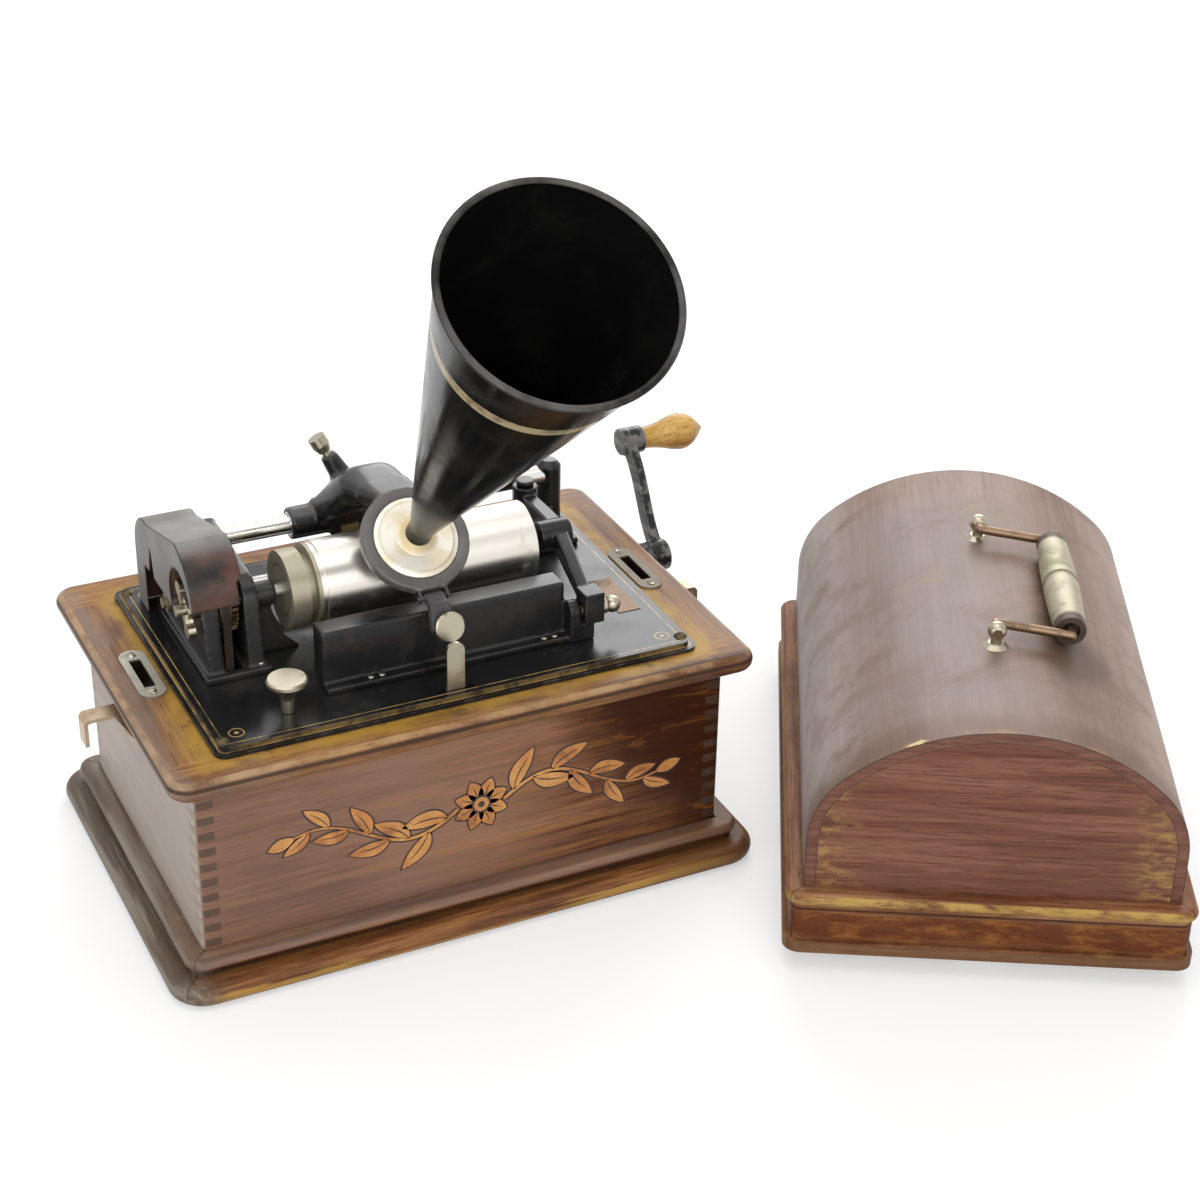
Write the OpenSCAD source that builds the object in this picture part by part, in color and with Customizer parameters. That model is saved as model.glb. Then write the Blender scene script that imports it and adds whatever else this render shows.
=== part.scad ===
// Table-top spring-motor machine that plays wax cylinders, with its domed lid standing beside it.
// X is the machine's right, Y its back and Z up; the origin is under the cabinet, on the floor.

/* [Cabinet] */
// Width of the base moulding
base_w = 330; // [310:1:350]
// Depth of the base moulding
base_d = 230; // [215:1:245]
// Height of the base moulding
base_h = 22; // [20:1:26]
// Width of the base moulding's section, which is also the radius of its corners
base_section = 19.5; // [17:0.5:22]
// Height of the round nose of the base moulding
base_nose_h = 12; // [8:1:14]
// Height of the bead along the top of the base moulding
base_bead_h = 6; // [4:1:8]
// Thickness of the four cabinet boards
board_t = 10; // [8:0.5:11]
// Height of the boards' top edge
board_top = 119; // [115:1:125]
// Rounding of the upright edges
board_r = 4; // [2:0.5:6]
// Fingers in each corner joint, both boards together
fingers = 26; // [20:2:30]
// Thickness of the bottom board
bottom_t = 8; // [6:1:10]
// Width of the rim
rim_w = 318; // [310:1:326]
// Depth of the rim
rim_d = 221; // [215:1:228]
// Thickness of the rim
rim_t = 11; // [9:0.5:11]
// Radius of the rim's corners
rim_r = 11.5; // [11.5:0.5:14]
// Width of the opening in the rim
rim_open_w = 244; // [236:1:250]
// Front edge of the opening in the rim, forward of the centre
rim_open_front = 90; // [88:0.5:92]
// Back edge of the opening in the rim, behind the centre
rim_open_back = 82; // [76:0.5:86]

/* [Bedplate] */
// Width of the bedplate
bed_w = 262; // [258:1:266]
// Depth of the bedplate
bed_d = 182; // [180:1:184]
// Centre of the bedplate behind the cabinet's centre
bed_y = -3; // [-4:0.5:-2]
// Thickness of the bedplate
bed_t = 4.5; // [4:0.5:6]
// Height of the bedplate's lower step
bed_step_h = 2; // [1:0.5:3]
// Width of the bedplate's lower step
bed_step_w = 3; // [2:0.5:4]
// Radius of the bedplate's corners
bed_r = 6; // [4:0.5:9]

/* [Mandrel and feed screw] */
// Mandrel axis behind the centre
mandrel_y = -10; // [-12:0.5:-8]
// Mandrel axis above the floor
mandrel_z = 168.4; // [166:0.2:172]
// Left end of the mandrel's tapered body
mandrel_left = -49.5; // [-52:0.5:-46]
// Right end of the mandrel's tapered body
mandrel_right = 67.6; // [64:0.2:68]
// Large radius of the mandrel's taper
mandrel_r = 22.5; // [21.5:0.1:23]
// Small radius of the mandrel's taper
mandrel_tip_r = 21.5; // [20.5:0.1:22]
// Wall of the mandrel
mandrel_wall = 2.5; // [1.5:0.1:4]
// Radius of the mandrel's flanged collar
collar_r = 20.5; // [19:0.5:22]
// Length of the mandrel's flanged collar
collar_len = 18.5; // [16:0.5:20]
// Radius of the mandrel shaft
shaft_r = 3.5; // [3:0.1:4]
// Radius of the feed screw's thread
screw_r = 4; // [3.6:0.1:5]
// Radius of the feed screw's journals
journal_r = 3; // [2.4:0.1:3.4]
// Slope of the feed gears' line of centres below level
feed_slope = 23; // [20:0.5:26]
// Module of the feed gears
feed_module = 1; // [0.9:0.05:1]
// Teeth of the mandrel gear and of the feed gear
feed_teeth = 28; // [28:4:28]
// Teeth of the idler between them
idler_teeth = 20; // [20:4:20]

/* [Left standard and cover] */
// Left face of the standard
stand_left = -113.5; // [-114.5:0.5:-113]
// Thickness of the standard's left wall
stand_wall = 8.5; // [7:0.5:8.5]
// Left face of the standard's right wall
stand_inner = -92.5; // [-92.5:0.5:-92]
// Thickness of the standard's right wall
stand_right_wall = 8.5; // [7:0.5:9]
// Front of the standard's walls
stand_front = -29; // [-29:0.5:-27]
// Radius of the metal round the mandrel bearing
stand_boss_r = 15; // [13:0.5:16]
// Right end of the mandrel's bearing boss
boss_end = -72; // [-74:0.5:-71]
// Radius of the mandrel's bearing boss
boss_r = 6.5; // [6:0.5:8]
// Left face of the gear cover
cover_left = -121; // [-124:0.5:-120]
// Right face of the gear cover
cover_right = -93; // [-93.5:0.1:-93]
// Front face of the gear cover
cover_front = -31; // [-34:0.5:-31]
// Back face of the gear cover
cover_back = 70; // [68:0.5:74]
// Top of the gear cover
cover_top = 204.5; // [200:0.5:208]
// Fall of the gear cover's top towards the back
cover_fall = 14; // [8:0.5:16]
// Radius of the gear cover's front shoulder
cover_front_r = 31; // [24:0.5:36]
// Radius of the gear cover's back shoulder
cover_back_r = 20; // [14:0.5:24]
// Wall of the gear cover
cover_wall = 1.5; // [1:0.1:1.5]
// Lower edge of the gear cover's front wall
cover_lip_z = 176; // [172:0.5:180]

/* [Front rail, back rod and gate] */
// Left end of the front rail
rail_left = -64; // [-66:0.5:-60]
// Right end of the front rail's panel
rail_right = 69; // [66:0.5:70]
// Front face of the front rail
rail_front = -60; // [-60.5:0.1:-59]
// Top of the front rail
rail_top = 167; // [165:0.2:167]
// Depth of the ledge along the front rail's top
rail_ledge = 14; // [10:0.5:15]
// Thickness of the front rail's panel
rail_t = 4; // [3:0.5:6]
// Back rod axis behind the centre
rod_y = 45; // [44:0.5:46]
// Back rod axis above the floor
rod_z = 175.5; // [175:0.1:177]
// Radius of the back rod
rod_r = 5.25; // [4.8:0.05:5.5]
// Centre of the right post from the centre
post_x = 108; // [106:0.5:110]
// Radius of the right post
post_r = 7; // [6.5:0.25:8]
// Gate pivot from the centre
gate_x = 88; // [87.5:0.1:88.5]
// Gate pivot behind the centre
gate_y = 32; // [31.5:0.1:33]
// Thickness of the gate's arm
gate_t = 8; // [6:0.5:8]
// Latch axis behind the centre
latch_y = -65; // [-66:0.5:-64.5]
// Latch axis above the floor
latch_z = 151.5; // [150:0.5:153]

/* [Carriage, reproducer and horn] */
// Rise of the reproducer's axis above level
speaker_tilt = 49; // [48:0.5:52]
// Middle of the reproducer from the centre
speaker_x = -2.5; // [-5:0.5:0]
// Radius of the reproducer's ring
ring_r = 28.5; // [27.5:0.1:29]
// Distance of the ring's underside from the mandrel axis
ring_low = 29.8; // [29.4:0.1:31]
// Thickness of the ring
ring_t = 7; // [6:0.2:8]
// Radius of the reproducer
speaker_r = 22; // [20:0.2:23.5]
// Radius of the reproducer's neck
neck_r = 6; // [5:0.1:6.5]
// Length of the reproducer's neck above its face
neck_len = 13; // [10:0.5:16]
// Left end of the carriage sleeve
sleeve_left = -44; // [-45:0.5:-42]
// Length of the carriage sleeve
sleeve_len = 60; // [56:1:62]
// Radius of the carriage sleeve
sleeve_r = 8.75; // [8.25:0.05:9.5]
// Wall of the bush in the sleeve
bush_wall = 1.25; // [1:0.05:1.6]
// Length of the horn
horn_len = 254; // [240:1:270]
// Radius of the horn's mouth inside its rolled edge
horn_r = 53; // [48:0.5:56]
// Wall of the horn
horn_wall = 0.9; // [0.7:0.1:1.2]
// Radius of the horn's rolled edge
horn_roll = 1.8; // [1.4:0.1:2.4]
// Length of the horn's lower tube, up to the seam with the bell
horn_tube_len = 98; // [80:1:120]

/* [Crank and motor] */
// Crank axis behind the centre
crank_y = 46; // [45:0.5:47]
// Crank axis above the floor
crank_z = 108; // [107:0.5:108]
// Radius of the crank shaft
crank_r = 5; // [4.5:0.1:5.5]
// Throw of the crank
crank_throw = 70; // [66:0.5:72]
// Rest angle of the crank above level
crank_angle = 50; // [45:1:55]
// Distance of the crank's arm out from the box
crank_out = 31.5; // [30.5:0.5:33.5]
// Thickness of the crank arm
crank_arm_t = 6; // [5:0.5:7]
// Length of the wooden grip
crank_grip_len = 40; // [36:0.5:41]
// Largest radius of the wooden grip
crank_grip_r = 11; // [10:0.2:11.5]
// Spring barrel axis behind the centre
barrel_y = 22; // [21:0.5:23]
// Radius of the spring barrel's drum
drum_r = 36; // [34:0.5:36]
// Wall of the spring barrel's drum
drum_wall = 2; // [1.5:0.1:2.5]
// Turns of the mainspring
spring_turns = 8; // [5:1:9]
// Thickness of the mainspring's band
spring_t = 1.2; // [0.8:0.1:1.4]
// Belt pulley radius
pulley_r = 13; // [12.5:0.1:13]
// Belt thickness
belt_t = 2.2; // [1.6:0.1:2.4]
// Belt width
belt_w = 4.2; // [3:0.1:4.4]
// Motor pulley axis above the floor
pulley_z = 104; // [103:0.5:105]
// Largest radius of the governor weights
governor_r = 12; // [9:0.5:12]

/* [Controls and latches] */
// Start lever from the centre
start_x = -3; // [-5:0.5:0]
// Start lever behind the centre
start_y = -85; // [-85:0.1:-84.8]
// Width of the start lever
start_w = 9.5; // [8:0.5:11]
// Height of the start lever above the bedplate
start_h = 27; // [22:1:30]
// Speed screw from the centre
speed_x = -86.7; // [-90:0.5:-84]
// Speed screw behind the centre
speed_y = -70.7; // [-74:0.5:-68]
// Radius of the speed screw's head
speed_head_r = 10.5; // [9:0.5:12]
// Height of the speed screw above the bedplate
speed_h = 19; // [16:0.5:22]
// Length of a slot plate
slot_plate_l = 50; // [44:1:56]
// Width of a slot plate
slot_plate_w = 14; // [12:0.5:15]
// Length of the tongue slot
slot_l = 29; // [28.5:0.5:32]
// Width of the tongue slot
slot_w = 6; // [5:0.2:7]
// Thickness of the latch levers
lever_t = 2; // [1.5:0.1:2.5]
// Reach of the latch lever's finger tab out from the box
lever_out = 29.5; // [27:0.5:30]

/* [Lid] */
// Middle of the lid from the centre
lid_x = 293; // [293:1:310]
// Middle of the lid behind the centre
lid_y = -117.6; // [-125:0.2:-117]
// Turn of the lid's long axis from the machine's width
lid_turn = 60.8; // [59:0.2:62]
// Length of the lid's moulding
lid_l = 312; // [306:1:316]
// Width of the lid's moulding
lid_w = 208; // [204:1:212]
// Height of the lid's moulding
lid_base_h = 35; // [30:1:40]
// Width of the lid moulding's section, which is also the radius of its corners
lid_section = 9; // [8:0.5:10]
// Height of the lid over its moulding
lid_rise = 96; // [88:1:100]
// Height of the dome's arched part
arch_h = 68; // [64:1:72]
// Radius of the dome's haunches
haunch_r = 50; // [44:1:56]
// Thickness of the dome's bent sheet
dome_t = 6; // [4:0.5:7]
// Thickness of the lid's end panels
end_t = 5.5; // [4.5:0.1:5.5]
// Depth of the rebate under the lid that goes round the bedplate
rebate_h = 8; // [6:0.5:10]
// Drop of the lid's tongues below its edge
tongue_drop = 11; // [10:0.5:14]
// Width of the lid's tongues
tongue_w = 27; // [24:0.5:28]
// Thickness of the lid's tongues
tongue_t = 2; // [1.5:0.1:2.5]
// Distance of the lid's tongues in from the ends of its moulding
tongue_in = 15.5; // [15:0.1:16]
// Distance between the arms of the handle
bail_span = 106; // [105:0.5:110]
// Reach of the handle's arms
bail_reach = 40; // [36:0.5:44]
// Radius of the handle's wire
bail_r = 2.5; // [2:0.1:3]
// Length of the handle's grip
grip_l = 97; // [90:1:98]
// Largest radius of the handle's grip
grip_r = 9.5; // [8:0.25:10]

/* [Clearances] */
// Radial clearance of a fixed fit
fit = 0.03; // [0.02:0.01:0.05]
// Radial clearance of a running fit
run = 0.06; // [0.04:0.01:0.09]
// Gap between neighbours that move past each other
gap = 0.3; // [0.25:0.05:0.4]

/* [Hidden] */
$fn = 72;
eps = 0.01;
rim_top = board_top + rim_t;
bed_top = rim_top + bed_t;
box_w = base_w - 2 * base_section;
box_d = base_d - 2 * base_section;
board_low = 1;
finger_h = (board_top - board_low) / fingers;
mandrel = [mandrel_y, mandrel_z];
feed_gap = feed_module * (feed_teeth + idler_teeth) / 2;
feed_dir = [cos(feed_slope), -sin(feed_slope)];
idler = mandrel + feed_gap * feed_dir;
feed = mandrel + 2 * feed_gap * feed_dir;
rod = [rod_y, rod_z];
stand_mid = stand_left + stand_wall;
stand_end = stand_inner + stand_right_wall;
gear_t = 3.2;
gear_x = cover_right - cover_wall - 0.5 - gear_t;
flange_t = 0.6;
pulley_x = stand_mid + 0.4;
pulley_w = belt_w + 2 * gap;
belt_x = pulley_x + flange_t + gap;
ring_top = ring_low + ring_t;
speaker_face = ring_top + 1.4;
bush_r = rod_r + run + bush_wall;
crank = [crank_y, crank_z];
crank_arm_x = box_w / 2 + crank_out;
crank_tip = crank + crank_throw * [cos(crank_angle), sin(crank_angle)];
crank_pin_r = 3;
wind_module = 1.5;
wind_pinion = 16;
wind_teeth = 56;
wind_gap = wind_module * (wind_pinion + wind_teeth) / 2;
barrel = [barrel_y, crank_z - sqrt(pow(wind_gap, 2) - pow(crank_y - barrel_y, 2))];
pulley = [mandrel_y, pulley_z];
train_teeth = 80;
train_pinion = 20;
train_gap = (train_teeth + train_pinion) / 2;
second_module = 0.8;
second_teeth = 60;
second_pinion = 12;
second_gap = second_module * (second_teeth + second_pinion) / 2;
second = meeting(pulley, second_gap, barrel, train_gap);
governor_module = 0.6;
governor_teeth = 48;
governor_pinion = 12;
governor_gap = governor_module * (governor_teeth + governor_pinion) / 2;
governor_angle = 165;
governor_at = pulley + governor_gap * [cos(governor_angle), sin(governor_angle)];
plate_t = 4;
plate_left = -80;
plate_right = -4;
arbor_r = 3;
second_x = -74;
train_x = -68;
train_t = 5;
drum_x = train_x + train_t;
drum_len = 43;
wind_x = -14;
wind_t = 6;
governor_x = -60;
pillars = [[-36, 46], [24, 122], [-38, 124]];
pillar_r = 4;
lid_body_l = lid_l - 2 * lid_section;
lid_body_w = lid_w - 2 * lid_section;
lid_spring = tongue_drop + lid_base_h + lid_rise - arch_h;
lid_top = lid_spring + arch_h;
crown_r = (pow(lid_body_w / 2 - haunch_r, 2) + pow(arch_h, 2) - pow(haunch_r, 2)) / (2 * (arch_h - haunch_r));
tongue_x = lid_l / 2 - tongue_in;
bail_z = lid_top + 9;
bail_h = bail_z - lid_top + crown_r;
bail_rest = crown_r + grip_r + gap;
bail_drop = asin((pow(bail_reach, 2) + pow(bail_h, 2) - pow(bail_rest, 2)) / (2 * bail_reach * bail_h));
ball_r = 5;
ball_x = bail_span / 2 + bail_r + ball_r + gap;
slot_x = (rim_w + rim_open_w) / 4;
cheek_t = 6.4;
block = [11, 12, 17];
block_drop = 6;
block_x = rail_right + cheek_t + 2 * gap;
lever_z = board_top - 4.5;
lever_x = box_w / 2 + 6.5;
lever_y = -44;
lever_reach = box_w / 2 + lever_out;

// Point at distance ra from a and rb from b, on the right hand going from a to b
function meeting(a, ra, b, rb) =
  let (d = norm(b - a), u = (b - a) / d, s = (ra * ra - rb * rb + d * d) / (2 * d), h = sqrt(ra * ra - s * s))
  a + s * u + h * [u[1], -u[0]];

// Direction of a line from a to b, in degrees
function bearing(a, b) = atan2(b[1] - a[1], b[0] - a[0]);

// Point on a cubic curve
function curve(p, t) =
  pow(1 - t, 3) * p[0] + 3 * pow(1 - t, 2) * t * p[1] + 3 * (1 - t) * t * t * p[2] + pow(t, 3) * p[3];

// Turns a drawing in the plane of Y and Z into a slab along X
module slab_x(x0, x1) {
  translate([x0, 0, 0]) rotate([90, 0, 90]) linear_extrude(x1 - x0) children();
}

// Round bar along X through the point at = [y, z]
module bar_x(at, x0, x1, r) {
  translate([x0, at[0], at[1]]) rotate([0, 90, 0]) cylinder(r = r, h = x1 - x0);
}

// Flat link with round ends between two points of the plane of Y and Z
module link_x(a, b, x0, x1, w) {
  slab_x(x0, x1) link_shape(a, b, w);
}

// Flat link with round ends between two points of the plane of X and Y
module link_z(a, b, z0, z1, w) {
  translate([0, 0, z0]) linear_extrude(z1 - z0) link_shape(a, b, w);
}

// Bar of width w with round ends
module link_shape(a, b, w) {
  hull() {
    translate(a) circle(w / 2, $fn = 40);
    translate(b) circle(w / 2, $fn = 40);
  }
}

// Slab with four round upright edges, centred on X and Y
module round_slab(w, d, h, r) {
  translate([-w / 2 + r, -d / 2, 0]) cube([w - 2 * r, d, h]);
  translate([-w / 2, -d / 2 + r, 0]) cube([w, d - 2 * r, h]);
  for (x = [-1, 1], y = [-1, 1])
    translate([x * (w / 2 - r), y * (d / 2 - r), 0]) cylinder(r = r, h = h);
}

// Moulding round a rectangle: the section runs from x = 0 inside to x = r outside
module moulding(w, d, r) {
  for (i = [0:3])
    translate([(i == 0 || i == 3 ? 1 : -1) * (w / 2 - r), (i < 2 ? 1 : -1) * (d / 2 - r), 0])
      rotate(90 * i) rotate_extrude(angle = 90) children();
  for (a = [0, 180]) {
    rotate(a) translate([-(w / 2 - r), d / 2 - r, 0]) rotate([90, 0, 90])
      linear_extrude(w - 2 * r) children();
    rotate(a) translate([w / 2 - r, d / 2 - r, 0]) rotate([90, 0, 0]) linear_extrude(d - 2 * r) children();
  }
}

// Spur gear lying in X and Y with straight-sided teeth; a tooth points along the angle aim
module gear(teeth, m, h, aim) {
  pitch = 360 / teeth;
  root = m * (teeth / 2 - 1.25);
  tip = m * (teeth / 2 + 1);
  outline = [
    for (i = [0:teeth - 1], k = [[root, -0.3], [tip, -0.12], [tip, 0.12], [root, 0.3]])
      k[0] * [cos(aim + (i + k[1]) * pitch), sin(aim + (i + k[1]) * pitch)]
  ];
  linear_extrude(h) polygon(outline);
}

// Gear on an X axis; aim is measured in the plane of Y and Z
module gear_x(at, x0, h, teeth, m, aim) {
  translate([x0, at[0], at[1]]) rotate([90, 0, 90]) gear(teeth, m, h, aim);
}

// Puts a drawing made on the reproducer's axis in place; z = 0 lies on the mandrel axis
module on_speaker() {
  translate([speaker_x, mandrel_y, mandrel_z]) rotate([90 - speaker_tilt, 0, 0]) children();
}

// Puts the lid, drawn along X over the origin, in its place
module lid_place() {
  translate([lid_x, lid_y, 0]) rotate(lid_turn) children();
}

// Section of the base moulding: round nose, hollow and bead
module base_section_shape() {
  nose_r = base_nose_h / 2;
  bead_r = base_bead_h / 2;
  bead_w = base_section - 9;
  square([base_section - nose_r, base_nose_h]);
  translate([base_section - nose_r, nose_r]) circle(nose_r);
  translate([0, base_nose_h - eps]) square([bead_w - bead_r, base_h - base_nose_h + eps]);
  translate([bead_w - bead_r, base_h - bead_r]) circle(bead_r);
}

module base_moulding() {
  color("#4a2a18") moulding(base_w, base_d, base_section) base_section_shape();
}

module bottom_board() {
  color("#5a3a22") translate([-box_w / 2 + board_t, -box_d / 2 + board_t, 0])
    cube([box_w - 2 * board_t, box_d - 2 * board_t, bottom_t]);
}

// Notches that let the other boards' fingers in, at every second row from the row first
module finger_notches(first) {
  for (i = [first:2:fingers - 1], x = [-1, 1], y = [-1, 1]) {
    low = i == 0 ? 0 : board_low + i * finger_h;
    high = i == fingers - 1 ? board_top + 1 : board_low + (i + 1) * finger_h;
    translate([x * box_w / 2 - board_t, y * box_d / 2 - board_t, low])
      cube([2 * board_t, 2 * board_t, high - low]);
  }
}

// Waste outside the box's rounded upright edges
module edge_waste() {
  for (x = [-1, 1], y = [-1, 1])
    translate([x * (box_w / 2 - board_r), y * (box_d / 2 - board_r), 0]) difference() {
    translate([x > 0 ? 0 : -board_r - 1, y > 0 ? 0 : -board_r - 1, 0])
      cube([board_r + 1, board_r + 1, board_top + 1]);
    translate([0, 0, -1]) cylinder(r = board_r, h = board_top + 3);
  }
}

module long_board(side) {
  difference() {
    translate([-box_w / 2, side * (box_d / 2 - board_t / 2) - board_t / 2, board_low])
      cube([box_w, board_t, board_top - board_low]);
    finger_notches(1);
    edge_waste();
  }
}

module front_board() {
  color("#5b2f1a") long_board(-1);
}

module back_board() {
  color("#5b2f1a") long_board(1);
}

// Mortise for the lid's tongue and the slit for its latch lever
module latch_cuts(side) {
  translate([side * slot_x - slot_w / 2, -slot_l / 2, board_top - 18]) cube([slot_w, slot_l, 18 + rim_t + 1]);
  translate([side * (box_w / 2 - board_t / 2 + 1) - board_t / 2, -24, lever_z - 1])
    cube([board_t, 36, board_top - lever_z + 1]);
}

module side_board(side) {
  difference() {
    translate([side * (box_w / 2 - board_t / 2) - board_t / 2, -box_d / 2, board_low])
      cube([board_t, box_d, board_top - board_low]);
    finger_notches(0);
    edge_waste();
    latch_cuts(side);
  }
}

module left_board() {
  color("#5b2f1a") side_board(-1);
}

module right_board() {
  color("#5b2f1a") difference() {
    side_board(1);
    bar_x(crank, box_w / 2 - board_t - 1, box_w / 2 + 1, crank_r + gap);
  }
}

// The rim in one piece: a bullnose edge round a slab with the motor's opening
module rim_blank() {
  nose_r = rim_t / 2;
  translate([0, 0, board_top]) difference() {
    union() {
      moulding(rim_w, rim_d, rim_r) {
        square([rim_r - nose_r, rim_t]);
        translate([rim_r - nose_r, nose_r]) circle(nose_r);
      }
      translate([-rim_w / 2 + rim_r, -rim_d / 2 + rim_r, 0])
        cube([rim_w - 2 * rim_r, rim_d - 2 * rim_r, rim_t]);
    }
    translate([-rim_open_w / 2, -rim_open_front, -1])
      cube([rim_open_w, rim_open_front + rim_open_back, rim_t + 2]);
  }
}

module rim_front() {
  color("#6a3a1c") intersection() {
    rim_blank();
    translate([-rim_w, -rim_d, 0]) cube([2 * rim_w, rim_d - rim_open_front, 2 * rim_top]);
  }
}

module rim_back() {
  color("#6a3a1c") intersection() {
    rim_blank();
    translate([-rim_w, rim_open_back, 0]) cube([2 * rim_w, rim_d, 2 * rim_top]);
  }
}

module rim_side(side) {
  difference() {
    intersection() {
      rim_blank();
      translate([side > 0 ? 0 : -rim_w, -rim_open_front, 0])
        cube([rim_w, rim_open_front + rim_open_back, 2 * rim_top]);
    }
    translate([side * slot_x - slot_w / 2, -slot_l / 2, board_top - 1]) cube([slot_w, slot_l, rim_t + 2]);
    latch_pivot(side, run);
    for (y = bed_screw_ys) translate([side * bed_screw_x, y, board_top + 2])
      cylinder(r = 1.7 + fit, h = rim_t);
  }
}

// Stud that the latch lever turns on, let into the rim from below
module latch_pivot(side, clear) {
  translate([side * lever_x, lever_y, lever_z + eps]) cylinder(r = 2.5 + clear, h = board_top + 6 - lever_z);
}

module rim_left() {
  color("#6a3a1c") rim_side(-1);
}

module rim_right() {
  color("#6a3a1c") rim_side(1);
}

module slot_plates() {
  plate_h = 1;
  end = slot_plate_w / 2;
  color("#b9b4a4") for (side = [-1, 1]) difference() {
    union() {
      translate([side * slot_x, 0, rim_top])
        link_z([0, end - slot_plate_l / 2], [0, slot_plate_l / 2 - end], 0, plate_h, slot_plate_w);
      for (y = [-1, 1]) translate([side * slot_x, y * (slot_plate_l / 2 - end + 1), rim_top + plate_h])
        intersection() {
          translate([0, 0, -2]) sphere(r = 3);
          cylinder(r = 3, h = 3);
        }
    }
    translate([side * slot_x - slot_w / 2, -slot_l / 2, rim_top - 1]) cube([slot_w, slot_l, plate_h + 2]);
  }
}

bed_screw_x = bed_w / 2 - 6;
bed_screw_ys = [bed_y - bed_d / 2 + 10, bed_y + bed_d / 2 - 9];
bed_holes_at = [for (x = [-1, 1], y = bed_screw_ys) [x * bed_screw_x, y]];
start_slot = start_w + 11;

module bedplate() {
  color("#15130f") difference() {
    union() {
      translate([0, bed_y, rim_top]) round_slab(bed_w, bed_d, bed_step_h, bed_r);
      translate([0, bed_y, rim_top])
        round_slab(bed_w - 2 * bed_step_w, bed_d - 2 * bed_step_w, bed_t, bed_r - 1);
      translate([start_x - 4, start_y + 2.4, rim_top - 11]) cube([8, 4, 11 + eps]);
    }
    for (p = bed_holes_at) translate([p[0], p[1], rim_top - 1]) cylinder(r = 1.7 + fit, h = bed_t + 2);
    translate([pulley_x - gap, mandrel_y - pulley_r - 5, rim_top - 1])
      cube([gear_x + gear_t - pulley_x, 2 * pulley_r + 10, bed_t + 2]);
    translate([start_x - start_slot / 2, start_y - 1.6, rim_top - 1]) cube([start_slot, 3.2, bed_t + 2]);
    translate([start_x, start_y, rim_top - 6]) rotate([-90, 0, 0]) cylinder(r = 2 + run, h = 20);
    translate([speed_x, speed_y, rim_top - 1]) cylinder(r = 2.5 + run, h = bed_t + 2);
  }
}

module bed_screws() {
  head_r = 3.6;
  color("#6d675c") for (p = bed_holes_at) translate([p[0], p[1], bed_top]) {
    difference() {
      intersection() {
        translate([0, 0, -2.2]) sphere(r = 4.2);
        cylinder(r = head_r, h = 4);
      }
      translate([-5, -0.4, 1.2]) cube([10, 0.8, 3]);
    }
    translate([0, 0, -bed_t - 8]) cylinder(r = 1.7, h = bed_t + 8 + eps);
  }
}

// Outline of the standard's two walls in the plane of Y and Z
module stand_shape() {
  hull() {
    translate([stand_front, bed_top]) square([rod_y + 11 - stand_front, 6]);
    translate(mandrel) circle(stand_boss_r, $fn = 48);
    translate(rod) circle(11, $fn = 48);
  }
}

module left_standard() {
  foot_h = 4;
  foot_front = stand_front - 4;
  foot_left = stand_left - 2.5;
  feed_out = feed_module * (feed_teeth / 2 + 1);
  web_x = boss_end - stand_end;
  web_top = mandrel_z - bed_top - 4;
  color("#14120f") difference() {
    union() {
      slab_x(stand_left, stand_mid) stand_shape();
      slab_x(stand_inner, stand_end) stand_shape();
      translate([foot_left, foot_front, bed_top]) cube([stand_end + 3 - foot_left, 54 - foot_front, foot_h]);
      bar_x(mandrel, stand_end - eps, boss_end, boss_r);
      translate([stand_end - 1, mandrel_y - 2.5, bed_top]) rotate([90, 0, 0]) mirror([0, 0, 1])
        linear_extrude(5) polygon([
          [0, 0], [web_x + 14, 0], [web_x + 6, 8], [web_x, 22], [web_x - 2, web_top], [0, web_top]]);
      bar_x(idler, stand_mid - eps, gear_x + gear_t, 2.5);
    }
    bar_x(mandrel, stand_inner - 1, boss_end + 1, shaft_r + run);
    bar_x(mandrel, stand_left - 1, stand_mid + 1, 3 + fit);
    bar_x(feed, stand_inner - 1, stand_end + 1, journal_r + run);
    bar_x(feed, stand_left - 1, stand_mid + 1, 3 + fit);
    bar_x(rod, stand_inner - 1, stand_end + 1, rod_r + fit);
    translate([pulley_x - gap, mandrel_y - pulley_r - 5, bed_top - 1])
      cube([gear_x + gear_t - pulley_x, 2 * pulley_r + 10, foot_h + 2]);
    translate([gear_x - gap, feed[0] - feed_out - gap, bed_top - 1])
      cube([gear_t + 2 * gap, 2 * (feed_out + gap), foot_h + 2]);
  }
}

// Outline of the gear cover, drawn in by inset
module cover_shape(inset) {
  front = cover_front + inset;
  back = cover_back - inset;
  fr = cover_front_r - inset;
  br = cover_back_r - inset;
  front_c = [cover_front + cover_front_r, cover_top - cover_front_r];
  back_c = [cover_back - cover_back_r, cover_top - cover_fall - cover_back_r];
  lean = bearing(front_c, back_c) + asin((cover_front_r - cover_back_r) / norm(back_c - front_c));
  polygon(concat(
    [[front, bed_top + inset]],
    [for (i = [0:20]) front_c + fr * [cos(180 - i * (90 - lean) / 20), sin(180 - i * (90 - lean) / 20)]],
    [for (i = [0:16]) let (a = (90 + lean) * (1 - i / 16)) back_c + br * [cos(a), sin(a)]],
    [[back, bed_top + inset]]
  ));
}

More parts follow.
